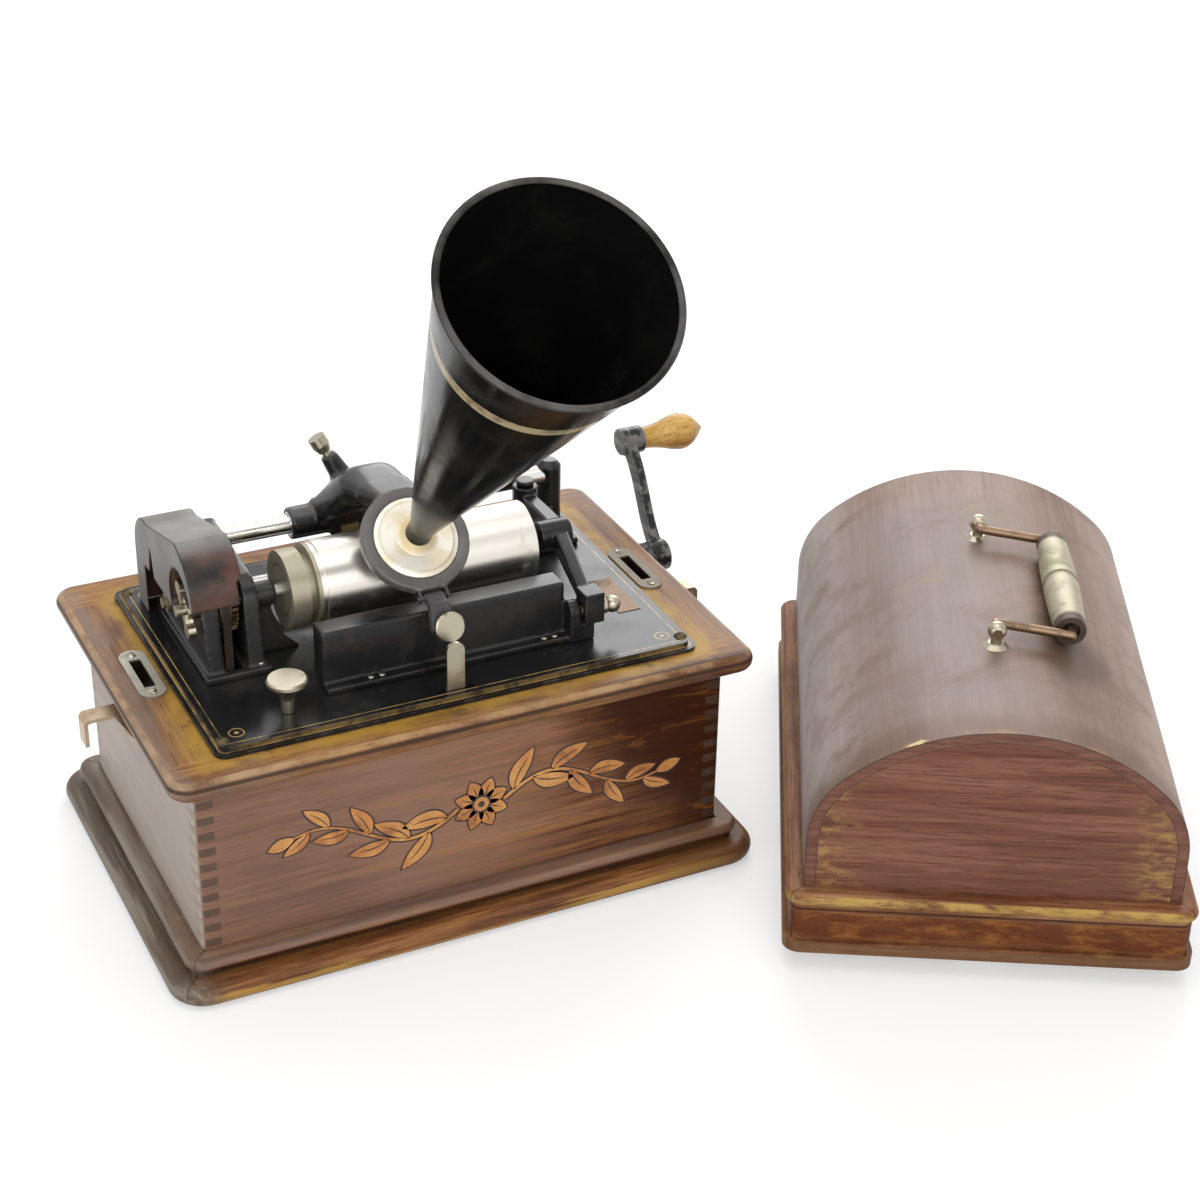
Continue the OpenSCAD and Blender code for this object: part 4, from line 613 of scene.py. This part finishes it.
def dome_age_and_sheen(g, colour):
    x, y, z = g.local
    colour = dome_stains(g, dome_haze_and_sheen(g, colour))
    spots = g.step(g.noise(24.0, 5.0, 0.7), 0.58, 0.72) * g.step(z, 0.08, 0.13)
    colour = g.mix(spots * 0.45, colour, (0.33, 0.19, 0.075))
    worn = g.fall(x + 0.147, 0.001, 0.006) * g.step(g.noise(60.0, 4.0), 0.5, 0.66)
    colour = g.mix(worn * 0.5, colour, (0.40, 0.24, 0.08))
    nx, ny, nz = g.facing()
    end = g.step(abs(nx * math.cos(LID_TURN) + ny * math.sin(LID_TURN)), 0.7, 0.9)
    grain = g.streaks((60, 12, 420), 4.0, 0.65, 0.3, TO_LID)
    cut = g.ramp(grain, [(0.36, (0.11, 0.038, 0.023)), (0.62, (0.20, 0.085, 0.054))])
    colour = g.mix(end, colour, cut)
    joint = g.edges(0.0022, 0.03, 0.2) * g.step(abs(x), 0.138, 0.142)
    colour = g.mix(joint * 0.85, colour, (0.022, 0.010, 0.006))
    ragged = (g.noise(190.0, 4.0, 0.7) - 0.5) * 0.012
    chip = g.fall(abs(x - CHIP_X) * 1.6 + abs(y - CHIP_Y) * 0.7 + ragged, 0.003, 0.005) * (1 - end)
    return g.mix(chip, colour, (0.66, 0.52, 0.24))


dress(wood("dome_wood", ((0.14, 0.072, 0.048), (0.235, 0.145, 0.108), (0.30, 0.195, 0.15)),
           LID_TURN, LID_CENTRE, wear=0.2, rough=0.4, blot=0.15, coat=0.12, gloss=0.32, pore=0.3,
           extra=dome_age_and_sheen),
      "lid_dome")

# %% [markdown]
# ## The lid's end panels and moulding
# Hands have rubbed both sides of the end panels to ochre. The bead along the top of the moulding
# has lost its stain, while the hollow below it keeps a red gloss. As on the base, bands by height
# pick out bead and hollow.

# %% Lid ends and moulding
LID_HALVES = (0.156, 0.104)
BEAD_SEAM_Z = 0.0365


def end_age(g, colour):
    x, y, z = g.local
    sides = g.step(abs(x) + g.noise(30.0, 4.0) * 0.03, 0.078, 0.10)
    rubbed = g.step(g.streaks((90, 90, 260), 5.0, 0.7), 0.44, 0.66)
    return g.mix(sides * rubbed * 0.85, colour, (0.42, 0.255, 0.075))


def lid_edge_age(g, colour):
    x, y, z = g.local
    nx, ny, nz = g.facing()
    front = 0.25 + 0.75 * g.fall(x, -0.147, -0.140)
    streak = g.streaks((60, 14, 160), 5.0, 0.65, 0.2, TO_LID)
    bead = g.step(z, 0.0390, 0.0405) * g.fall(nz, 0.72, 0.90) * g.step(streak, 0.32, 0.56)
    colour = g.mix(bead * front * 0.85, colour, (0.52, 0.34, 0.09))
    colour = g.mix(g.fall(z, 0.0165, 0.0185) * 0.65, colour, (0.15, 0.078, 0.040))
    colour = g.mix(g.line(z, BEAD_SEAM_Z, 0.0005, 0.0012) * 0.8, colour, (0.03, 0.012, 0.006))
    hollow = g.band(z, 0.017, 0.022, 0.033, 0.037)
    colour = g.mix(hollow * 0.85, colour, (0.105, 0.024, 0.006))
    return g.mix(hollow * g.step(streak, 0.44, 0.72) * front * 0.75, colour, (0.38, 0.15, 0.035))


dress(wood("lid_end_wood", ((0.105, 0.034, 0.020), (0.20, 0.080, 0.050), (0.28, 0.130, 0.083)),
           LID_TURN + DEEP, LID_CENTRE, blot=0.3, wear=0.1, extra=end_age),
      "lid_end_panels")
dress(wood("lid_mould_wood", ((0.07, 0.018, 0.008), (0.23, 0.092, 0.042), (0.38, 0.20, 0.10)),
           LID_TURN, LID_CENTRE, LID_HALVES, wear=0.5, edge=0.005, worn=(0.48, 0.29, 0.08),
           coat=0.03, gloss=0.12, extra=lid_edge_age),
      "lid_moulding")

# %% [markdown]
# ## Black enamel
# Castings were dipped in black japan and baked, which gives a deep gloss. Dust dulls it in
# patches, and handling rubs it through to a brown-grey on the edges. A belt of old leather is
# dark and patchy in the same way, so it takes the same recipe with less gloss.

# %% Enamel
def enamel(name, base=(0.011, 0.011, 0.012), dust=(0.045, 0.042, 0.038), bare=(0.16, 0.13, 0.10),
           wear=0.6, rough=0.2, edge=0.0018, coat=0.05, gloss=0.3, extra=None):
    g = Finish(name)
    film = g.noise(22.0, 5.0, 0.6, 0.3)
    grit = g.noise(420.0, 3.0, 0.6)
    rub = g.edges(edge) * g.step(g.noise(90.0, 5.0, 0.7), 0.6 - wear * 0.25, 0.72 - wear * 0.2)
    colour = g.mix(g.step(film, 0.45, 0.75) * 0.7, base, dust)
    colour = g.mix(rub * wear, colour, bare)
    if extra:
        colour = extra(g, colour)
    dull = g.step(film, 0.4, 0.75) * 0.22
    return g.surface(Base_Color=colour, Roughness=rough + dull + rub * 0.15 + grit * 0.05,
                     Coat_Weight=coat, Coat_Roughness=0.12, Specular_IOR_Level=gloss,
                     Normal=g.bump(grit + film * 2.0, 0.08, 0.0004))


dress(enamel("belt_leather", base=(0.02, 0.012, 0.008), dust=(0.045, 0.029, 0.018), wear=0.4,
             rough=0.55),
      "drive_belt")
dress(enamel("weathered_enamel", base=(0.05, 0.046, 0.05), dust=(0.14, 0.132, 0.135), wear=0.7,
             rough=0.32),
      "lift_lever")

# %% [markdown]
# ## Gold lines on the bedplate
# Two gold lines follow the bedplate's edge, with a ring and a dot where they turn each corner. A
# line that keeps its distance from a rounded rectangle needs that distance at every point:
# outside the inner rectangle it is the distance to a corner, and inside it is the larger of two
# one-way distances.

# %% Bedplate
CORE_X, CORE_Y, CORNER_RADIUS = 0.125, 0.085, 0.006
RING_X, RING_Y, RING_RADIUS = 0.1165, 0.0765, 0.0038


def bed_lines(g, colour):
    x, y, z = g.xyz()
    across, deep = abs(x) - CORE_X, abs(y - BED_MID_Y) - CORE_Y
    corner = across.high(0.0) ** 2.0 + deep.high(0.0) ** 2.0
    inset = CORNER_RADIUS - corner ** 0.5 - across.high(deep).low(0.0)
    away = ((abs(x) - RING_X) ** 2.0 + (abs(y - BED_MID_Y) - RING_Y) ** 2.0) ** 0.5
    outer, inner = g.line(inset, 0.0026, 0.00025, 0.0005), g.line(inset, 0.0062, 0.0002, 0.0004)
    ring, dot = g.line(away, RING_RADIUS, 0.0002, 0.0004), g.fall(away, 0.0010, 0.0013)
    rubbed = g.step(g.noise(70.0, 4.0, 0.65), 0.36, 0.56)
    gilded = outer.high(inner).high(ring).high(dot) * (0.25 + rubbed * 0.7)
    return g.mix(gilded, colour, (0.50, 0.32, 0.10))


dress(enamel("bed_enamel", rough=0.14, wear=0.5, extra=bed_lines), "bedplate")

# %% [markdown]
# ## The horn
# The horn is black sheet metal with a gold line round the outside a little below its mouth and a
# lip rubbed to grey. It is a cone on a tilted axis, so the paint is measured along that axis, and
# the distance from the axis tells the outside of the wall from the inside.

# %% Horn
HORN_TIP = Vector((-0.0025, -0.010, 0.1684))
HORN_AXIS = Vector((0.0, -math.cos(math.radians(49)), math.sin(math.radians(49))))
SOCKET_END, SOCKET_RADIUS, FLARE = 0.0515, 0.00606, 0.1934


def horn_paint(g, colour):
    reach, out = g.along(HORN_TIP, HORN_AXIS)
    outside = g.step(out - (SOCKET_RADIUS + (reach - SOCKET_END) * FLARE), 0.0003, 0.0006)
    scuff = g.step(g.streaks((60, 60, 16), 5.0, 0.7), 0.6, 0.72) * outside
    colour = g.mix(scuff * 0.2, colour, (0.08, 0.075, 0.068))
    stripe = g.band(reach, 0.2540, 0.2545, 0.2618, 0.2623) * outside
    gold = g.mix(g.step(g.noise(160.0, 4.0), 0.45, 0.7), (0.52, 0.42, 0.25), (0.28, 0.21, 0.12))
    colour = g.mix(stripe * 0.95, colour, gold)
    lip = g.step(reach, 0.2945, 0.2952) * g.step(g.noise(26.0, 4.0, 0.6), 0.34, 0.70)
    return g.mix(lip * 0.6, colour, (0.20, 0.195, 0.18))


dress(enamel("horn_enamel", base=(0.006, 0.006, 0.006), dust=(0.016, 0.015, 0.014), wear=0.4,
             rough=0.1, coat=0.0, gloss=0.14, extra=horn_paint),
      "horn", "horn_tube")

# %% [markdown]
# ## The castings
# Thin rust shows through the enamel of the castings in a few patches. The gear cover is greyed on
# its top by dust and a painted sheen, is painted pale grey on its left side as a sheen, and has
# gone rusty brown in front. The carriage's ring is painted grey as a sheen, the arm's crest is
# greyed by dust and a painted highlight, and hands have worn the crank's arm down to streaks of
# iron. Which way a face looks tells where dust and painted sheen lie.

# %% Castings
CRANK_LEAN = math.radians(50)


def cast_age(g, colour):
    patch = g.step(g.noise(34.0, 5.0, 0.65, 0.4), 0.54, 0.70)
    rust = patch * g.step(g.noise(150.0, 3.0, 0.6), 0.40, 0.60)
    return g.mix(rust * 0.6, colour, (0.085, 0.046, 0.028))


def cover_age_and_sheen(g, colour):
    nx, ny, nz = g.facing()
    patch = g.noise(26.0, 5.0, 0.65, 0.4)
    # Dust and a painted sheen on the top.
    top = g.step(nz, 0.80, 0.99) * (0.1 + patch * 1.2)
    # A painted sheen on the left side.
    left = g.step(-1.0 * nx, 0.6, 0.97) * 0.75
    rust = g.step(patch, 0.30, 0.56) * g.step(-1.0 * ny, 0.1, 0.6)
    colour = g.mix(rust * 0.85, colour, (0.105, 0.044, 0.030))
    colour = g.mix(left.clamp() * (0.4 + patch * 0.8), colour, (0.25, 0.245, 0.24))
    return g.mix(top.clamp(), colour, (0.30, 0.295, 0.28))


def arm_age_and_sheen(g, colour):
    reach, out = g.along(HORN_TIP, HORN_AXIS)
    nx, ny, nz = g.facing()
    patch = g.noise(60.0, 5.0, 0.65)
    ring = g.step(reach, 0.024, 0.028) * g.fall(out, 0.0288, 0.0295)
    # Dust and a painted highlight on the crest.
    crest_dust_and_sheen = g.step(nz, 0.35, 0.9) * (1 - ring)
    colour = g.mix(crest_dust_and_sheen * (0.05 + patch * 0.45), colour, (0.24, 0.232, 0.23))
    # A painted sheen on the ring.
    return g.mix(ring * (0.5 + patch * 0.7), colour, (0.15, 0.14, 0.135))


def crank_age(g, colour):
    streak = g.streaks((140, 22, 170), 4.0, 0.6, turn=(-CRANK_LEAN, 0, 0))
    return g.mix(g.step(streak, 0.47, 0.60) * 0.55, colour, (0.30, 0.295, 0.285))


cast_black = dress(enamel("cast_enamel", extra=cast_age),
                   "left_standard", "front_rail", "right_post", "end_gate",
                   "motor_plate_left", "motor_plate_right")
dress(enamel("cover_enamel", dust=(0.075, 0.06, 0.05), wear=0.8, rough=0.38, extra=cover_age_and_sheen),
      "gear_cover")
dress(enamel("arm_enamel", extra=arm_age_and_sheen), "carriage_arm")
dress(enamel("crank_enamel", bare=(0.34, 0.33, 0.32), wear=0.9, edge=0.003, rough=0.18, coat=0.0,
             extra=crank_age),
      "crank_arm")

# %% [markdown]
# ## Bright and aged metal
# Nickel plate, brass and steel share one recipe: a metal whose colour drifts towards a tarnish in
# patches and specks, with fine scratches in the bump and in the roughness. The more a piece is
# dulled, the lower the noise that counts as a patch.

# %% Metal
def metal(name, bright, tarnish, rough, dull=0.5, relief=0.05, extra=None):
    g = Finish(name)
    patch = g.noise(60.0, 6.0, 0.65, 0.6)
    speck = g.noise(540.0, 3.0, 0.6)
    scratch = g.streaks((40, 900, 900), 3.0, 0.6)
    stain = g.step(patch, 0.62 - dull * 0.25, 0.8 - dull * 0.15)
    colour = g.mix(stain * 0.8, bright, tarnish)
    colour = g.mix(g.step(speck, 0.66, 0.78) * dull, colour, shade(tarnish, 0.55))
    g.matt = 0.0
    if extra:
        colour = extra(g, colour)
    return g.surface(Base_Color=colour, Metallic=(1.0 - stain * 0.25) * (1.0 - g.matt * 0.6),
                     Roughness=rough + stain * 0.2 + scratch * 0.1 + g.matt * 0.22,
                     Normal=g.bump(scratch + speck, relief, 0.0003))


dress(metal("bright_nickel", (0.78, 0.75, 0.70), (0.48, 0.42, 0.34), dull=0.25, rough=0.16),
      "back_rod")
aged_nickel = dress(metal("aged_nickel", (0.40, 0.36, 0.275), (0.23, 0.185, 0.115), rough=0.26),
                    "pivot_screws", "lift_knob", "latch_bolt", "start_lever", "speed_screw",
                    "adjusting_screw", "lid_tongues", "handle_posts")
dress(metal("turned_steel", (0.48, 0.47, 0.45), (0.20, 0.17, 0.14), rough=0.3),
      "mandrel_shaft", "feed_screw", "frame_pillars", "winding_arbor", "crank_shaft",
      "carriage_bush", "barrel_cover")
dress(metal("blued_steel", (0.10, 0.12, 0.17), (0.06, 0.055, 0.05), dull=0.4, rough=0.28),
      "mainspring")
dress(metal("gear_brass", (0.62, 0.46, 0.20), (0.30, 0.20, 0.08), rough=0.3),
      "spring_barrel", "second_wheel", "motor_pulley", "governor", "half_nut")
dress(metal("grimy_brass", (0.10, 0.074, 0.04), (0.04, 0.03, 0.022), dull=0.7, rough=0.45),
      "mandrel_pulley", "idler_gear", "bed_screws")
dress(metal("lever_bronze", (0.50, 0.39, 0.27), (0.30, 0.20, 0.13), dull=0.6, rough=0.34),
      "latch_lever_left", "latch_lever_right")
dress(metal("bail_bronze", (0.24, 0.16, 0.10), (0.08, 0.05, 0.04), dull=0.7, rough=0.36),
      "handle_bail")

# %% [markdown]
# ## Metal with two faces
# Four pieces are two-toned. The mandrel is nickel with a dull brass flange, the reproducer is
# pale with a brassy hub under the horn's neck, the lid's grip is greenish with dark ends, and one
# slot plate is dusty. Each lays on its own colour by where a point lies, and says how matt it is
# there.

# %% Two-toned metal
FLANGE_X, RING_FACE_X, TURNED_RING = -0.0516, -0.0670, 0.0135
GRIP_MIDDLE = (0.3276, -0.1369, 0.1454)


def collar_brass(g, colour):
    x, y, z = g.xyz()
    flange = g.fall(x, FLANGE_X - 0.0006, FLANGE_X)
    g.matt = flange * 0.55
    out = ((y - HORN_TIP.y) ** 2.0 + (z - HORN_TIP.z) ** 2.0) ** 0.5
    ring = g.line(out, TURNED_RING, 0.0006, 0.0012) * g.fall(x, RING_FACE_X - 0.0005, RING_FACE_X)
    colour = g.mix(flange * 0.85, colour, (0.29, 0.255, 0.165))
    return g.mix(ring * 0.6, colour, (0.14, 0.11, 0.06))


def hub_brass(g, colour):
    reach, out = g.along(HORN_TIP, HORN_AXIS)
    g.matt = 1.0
    colour = g.mix(g.step(g.noise(75.0, 4.0, 0.6), 0.46, 0.66) * 0.5, colour, (0.66, 0.52, 0.26))
    colour = g.mix(g.fall(out, 0.0080, 0.0125) * 0.75, colour, (0.54, 0.39, 0.16))
    return g.mix(g.line(out, 0.0195, 0.0004, 0.0009) * 0.5, colour, (0.40, 0.34, 0.24))


def grip_age(g, colour):
    reach, out = g.along(GRIP_MIDDLE, (math.cos(LID_TURN), math.sin(LID_TURN), 0.0))
    g.matt = 0.75
    ends = g.step(abs(reach), 0.0405, 0.0440).high(g.fall(out, 0.0060, 0.0066))
    green = g.step(g.noise(55.0, 4.0, 0.6, 0.4), 0.46, 0.62)
    colour = g.mix(green * 0.7, colour, (0.235, 0.24, 0.13))
    return g.mix(ends * 0.9, colour, (0.050, 0.026, 0.020))


def plate_dust(g, colour):
    x, y, z = g.xyz()
    g.matt = g.step(x, 0.0, 0.01)
    return g.mix(g.matt * 0.8, colour, (0.19, 0.155, 0.115))


dress(metal("mandrel_nickel", (0.71, 0.67, 0.61), (0.50, 0.44, 0.35), dull=0.3, rough=0.26,
            relief=0.002, extra=collar_brass),
      "mandrel_sleeve")
dress(metal("reproducer_nickel", (0.84, 0.80, 0.70), (0.64, 0.55, 0.38), dull=0.25, rough=0.2,
            extra=hub_brass),
      "reproducer")
dress(metal("grip_nickel", (0.42, 0.375, 0.28), (0.30, 0.25, 0.165), rough=0.3, extra=grip_age),
      "handle_grip")
dress(metal("dulled_nickel", (0.44, 0.42, 0.355), (0.25, 0.22, 0.16), dull=0.6, rough=0.4,
            extra=plate_dust),
      "slot_plates")
print("pieces without a finish:", sorted(set(NODES) - dressed))

# %% [markdown]
# ## Castings with soft edges
# A sand casting has no knife edges: the sand rounds them and the enamel rounds them again. The
# CAD solids are crisp, so each casting is copied, its triangles are welded, and it is rebuilt
# from small even cells. Smoothing those cells rounds every edge and fillets every corner by about
# a millimetre. A last pass thins the flat faces. The arch of the carriage's arm is smoothed much
# longer, until its blocks melt into one sweep.

# %% Soft castings
KEPT_FACES, MELT_ROUNDS = 0.3, 70
ARCH_Y, ARCH_Z = 0.002, 0.186
CASTINGS = (  # node, body, cell in metres, rounds of smoothing
    ("gear_cover", "cabinet", 0.0006, 5), ("left_standard", "cabinet", 0.0008, 4),
    ("front_rail", "cabinet", 0.0007, 4), ("right_post", "cabinet", 0.0006, 4),
    ("end_gate", "gate", 0.0005, 6), ("crank_arm", "crank_set", 0.0005, 6),
    ("lift_lever", "lift_set", 0.0004, 4),
)


def baked(piece):
    """The piece's mesh with its modifiers applied."""
    graph = bpy.context.evaluated_depsgraph_get()
    return bpy.data.meshes.new_from_object(piece.evaluated_get(graph))


def soften(bm, verts):
    bmesh.ops.smooth_vert(bm, verts=verts, factor=0.5, use_axis_x=True, use_axis_y=True,
                          use_axis_z=True)


def soft_casting(node, body, cell, rounds, melt=None):
    bm = bmesh.new()
    bm.from_mesh(NODES[node].data)
    piece = finish_mesh("soft_" + node, bm, NODES[node].data.materials[0])
    remesh = piece.modifiers.new("cells", "REMESH")
    remesh.mode, remesh.voxel_size, remesh.adaptivity = "VOXEL", cell, 0.0
    mesh = baked(piece)
    piece.modifiers.clear()
    bm = bmesh.new()
    bm.from_mesh(mesh)
    for _ in range(rounds):
        soften(bm, bm.verts)
    for _ in range(MELT_ROUNDS if melt else 0):
        soften(bm, [vert for vert in bm.verts if melt(vert.co)])
    bm.to_mesh(piece.data)
    bm.free()
    piece.modifiers.new("thin", "DECIMATE").ratio = KEPT_FACES
    piece.data = baked(piece)
    piece.modifiers.clear()
    piece.data.materials.clear()
    piece.data.materials.append(NODES[node].data.materials[0])
    for polygon in piece.data.polygons:
        polygon.use_smooth = True
    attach(piece, body)
    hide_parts(node)
    print("cast", node, len(piece.data.polygons), "faces")


for node, body, cell, rounds in CASTINGS:
    soft_casting(node, body, cell, rounds)
soft_casting("carriage_arm", "arm", 0.0008, 6,
             melt=lambda point: point.y > ARCH_Y and point.z > ARCH_Z)

# %% [markdown]
# ## Leaves and stems
# The front board carries a transfer in copper and gold, outlined in dark ink: a spray of leaves
# on two winding stems that meet at a rosette. Every shape is a flat outline worked out from a
# formula and laid on the board up to three times: ink first and a little larger, then the gold,
# then the thin ink of the veins.

# %% Leaf and stem shapes
INK, GILT = 0, 1
FRONT_Y, LAYER, ROSE = -0.0955, 0.00006, (0.006, 0.069)
OUTLINE, NUDGE = 0.0011, 0.01
STEM_START, STEM_LENGTH, STEM_SWAY, STEM_WAVES = 0.013, 0.088, 0.011, 0.85


def layer_y(layer):
    """Higher layers lie a hair further out."""
    return FRONT_Y - LAYER * (layer + 1)


def lay(bm, outline, layer, paint):
    """One flat shape on the front board."""
    face = bm.faces.new([bm.verts.new((x, layer_y(layer), z)) for x, z in outline])
    face.material_index = paint


def disc(bm, radius, layer, paint):
    """A round spot in the middle of the rosette."""
    place = Matrix.Translation((ROSE[0], layer_y(layer), ROSE[1]))
    made = bmesh.ops.create_circle(bm, cap_ends=True, segments=20, radius=radius,
                                   matrix=place @ Matrix.Rotation(math.pi / 2, 4, "X"))
    made["verts"][0].link_faces[0].material_index = paint


def leaf_outline(root, angle, length, width, bend, grow=0.0, steps=9):
    """A pointed leaf whose midrib bends: points up one edge and back down the other."""
    ahead = Vector((math.cos(angle), math.sin(angle)))
    aside = Vector((-math.sin(angle), math.cos(angle)))
    one, other = [], []
    for i in range(steps + 1):
        t = -grow / length + (1 + 2 * grow / length) * i / steps
        rib = Vector(root) + ahead * length * t + aside * bend * length * t * t
        half = (width + grow) * math.sin(math.pi * i / steps) ** 0.8
        one.append(rib + aside * half)
        other.append(rib - aside * half)
    return one + other[-2:0:-1]


def leaf(bm, root, angle, length, width, bend, vein=True):
    lay(bm, leaf_outline(root, angle, length, width, bend, OUTLINE), 0, INK)
    lay(bm, leaf_outline(root, angle, length, width, bend), 1, GILT)
    if vein:
        lay(bm, leaf_outline(root, angle, length * 0.82, width * 0.09, bend), 2, INK)


def stem_point(side, u):
    sway = STEM_SWAY * math.sin(2 * math.pi * STEM_WAVES * u) * (1 - 0.2 * u)
    return (ROSE[0] + side * (STEM_START + STEM_LENGTH * u), ROSE[1] + side * sway)


def stem_run(side, start, end):
    """The step from one place on a stem to another."""
    return Vector(stem_point(side, end)) - Vector(stem_point(side, start))


def stem(bm, side, half, layer, paint, steps=40):
    above, below = [], []
    for i in range(steps + 1):
        u = i / steps
        across = stem_run(side, u - NUDGE, u + NUDGE).orthogonal().normalized()
        across *= half * (1.15 - 0.6 * u)
        above.append(Vector(stem_point(side, u)) + across)
        below.append(Vector(stem_point(side, u)) - across)
    for i in range(steps):
        lay(bm, [above[i], above[i + 1], below[i + 1], below[i]], layer, paint)


print("a leaf has", len(leaf_outline(ROSE, 0.0, 0.02, 0.004, 0.0)), "points")

# %% [markdown]
# ## The ornament on the front board
# The two paints are worn in different ways: the gold is rubbed through in level scratches, the
# ink only fades. Leaves stand by turns above and below each stem and shrink towards its end, and
# eight more make the rosette.

# %% Front ornament
LEAVES, PETALS, LEAF_LEAN = 8, 8, math.radians(52)


def gilt_paint():
    g = Finish("gilt_paint")
    patch = g.noise(48.0, 5.0, 0.65, 0.3)
    colour = g.ramp(patch, [(0.32, (0.24, 0.07, 0.016)), (0.48, (0.56, 0.22, 0.05)),
                            (0.68, (0.70, 0.36, 0.10))])
    rubbed = g.step(g.streaks((60, 60, 520), 5.0, 0.7), 0.58, 0.68)
    colour = g.mix(rubbed * 0.75, colour, (0.13, 0.05, 0.022))
    return g.surface(Base_Color=colour, Roughness=0.42, Metallic=0.15, Coat_Weight=0.2,
                     Coat_Roughness=0.25)


def ink_paint():
    g = Finish("ink_paint")
    faded = g.step(g.noise(70.0, 4.0), 0.5, 0.7)
    colour = g.mix(faded * 0.6, (0.022, 0.009, 0.006), (0.09, 0.04, 0.022))
    return g.surface(Base_Color=colour, Roughness=0.45, Coat_Weight=0.2, Coat_Roughness=0.25)


def spray(bm, side):
    """One stem with its leaves, to the left (-1) or the right (1) of the rosette."""
    stem(bm, side, 0.0019, 0, INK)
    stem(bm, side, 0.0009, 1, GILT)
    for i in range(LEAVES):
        u = 0.06 + 0.122 * i
        ahead = stem_run(side, u - NUDGE, u + NUDGE)
        up = side if i % 2 == 0 else -side
        angle = math.atan2(ahead.y, ahead.x) + up * LEAF_LEAN
        size = 0.0245 - 0.0011 * i
        leaf(bm, stem_point(side, u), angle, size, size * 0.2, -up * 0.35)
    ahead = stem_run(side, 0.98, 1.0)
    leaf(bm, stem_point(side, 1.0), math.atan2(ahead.y, ahead.x), 0.015, 0.0034, 0.0, vein=False)


def front_ornament():
    bm = bmesh.new()
    for side in (-1, 1):
        spray(bm, side)
    for i in range(PETALS):
        leaf(bm, ROSE, 2 * math.pi * (i + 0.5) / PETALS, 0.0155, 0.0042, 0.0)
    for radius, layer, paint in ((0.0052, 3, INK), (0.0042, 4, GILT), (0.0018, 5, INK)):
        disc(bm, radius, layer, paint)
    piece = finish_mesh("front_ornament", bm, ink_paint(), smooth=False)
    piece.data.materials.append(gilt_paint())
    for face in piece.data.polygons:
        if face.normal.y > 0:  # a flat shape has no inside, so each face is made to look outwards
            face.flip()
    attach(piece, "cabinet")
    return piece


print("ornament shapes:", len(front_ornament().data.polygons))

# %% [markdown]
# ## A bare plate on the bed
# A thin copper plate lies on the bed beside the gate. It is a flat block with a very small bevel,
# because even a thin sheet shows a bright line where its edge is rounded.

# %% Bare plate
PLATE_PLACE, PLATE_SIZE = (0.1130, -0.0300, 0.13465), (0.013, 0.038, 0.0005, 1)
PLATE_BEVEL = 0.00012


def bare_plate():
    bm = bmesh.new()
    place = Matrix.Translation(PLATE_PLACE) @ Matrix.Diagonal(PLATE_SIZE)
    bmesh.ops.create_cube(bm, size=1.0, matrix=place)
    bmesh.ops.bevel(bm, geom=bm.edges, offset=PLATE_BEVEL, offset_type="OFFSET", affect="EDGES",
                    segments=1, profile=0.5, material=-1)
    copper = metal("plate_copper", (0.19, 0.135, 0.10), (0.13, 0.09, 0.06), rough=0.5)
    piece = finish_mesh("bare_plate", bm, copper, smooth=False)
    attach(piece, "cabinet")
    return piece


print("plate faces:", len(bare_plate().data.polygons))

# %% [markdown]
# ## Small screws
# Small fasteners make a machine believable. A screw head is a short cone with a bevelled rim and a
# dark bar that paints the shade in its slot, set on whatever it holds. All the heads are one mesh,
# with their slots at odd angles, as a screwdriver leaves them.

# %% Screw heads
RAIL_Y, RAIL_FOOT, STANDARD_FOOT, PLATE_TOP = -0.0630, 0.1380, 0.1385, 0.1310
HEADS = [  # place, radius, height, turn of the slot
    ((-0.0860, -0.0280, STANDARD_FOOT), 0.0022, 0.0014, 0.7),
    ((-0.0860, 0.0490, STANDARD_FOOT), 0.0022, 0.0014, 1.3),
]
HEADS += [((x, RAIL_Y, RAIL_FOOT), 0.0019, 0.0014, turn)
          for x, turn in ((-0.0400, 0.4), (-0.0340, 1.1), (0.0560, 0.2), (0.0620, 0.9))]
HEADS += [((side * SLOT_X, y, PLATE_TOP), 0.0017, 0.0006, 0.5 + 9 * y)
          for side in (-1, 1) for y in (-0.0205, 0.0205)]


def screw_head(bm, place, radius, height, turn):
    """A domed head standing on `place`, with its slot turned by `turn`."""
    stand = Matrix.Translation(place) @ Matrix.Rotation(turn, 4, "Z")
    made = bmesh.ops.create_cone(bm, cap_ends=True, segments=20, radius1=radius,
                                 radius2=radius * 0.86, depth=height,
                                 matrix=stand @ Matrix.Translation((0, 0, height / 2)))
    rim = [edge for edge in {e for v in made["verts"] for e in v.link_edges}
           if all((stand.inverted() @ v.co).z > height * 0.6 for v in edge.verts)]
    bmesh.ops.bevel(bm, geom=rim, offset=height * 0.3, offset_type="OFFSET", affect="EDGES",
                    segments=2, profile=0.5, material=-1)
    # A thin black bar paints the shade in the slot.
    slot_shade_bar = bmesh.ops.create_cube(bm, size=1.0, matrix=stand @ Matrix.Translation((0, 0, height))
                                @ Matrix.Diagonal((radius * 1.5, radius * 0.26, 0.0002, 1)))
    for face in {f for v in slot_shade_bar["verts"] for f in v.link_faces}:
        face.material_index = 1


def small_screws():
    bm = bmesh.new()
    for head in HEADS:
        screw_head(bm, *head)
    piece = finish_mesh("small_screws", bm, aged_nickel)
    piece.data.materials.append(cast_black)
    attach(piece, "cabinet")
    return piece


print("screw heads:", len(HEADS), "faces:", len(small_screws().data.polygons))
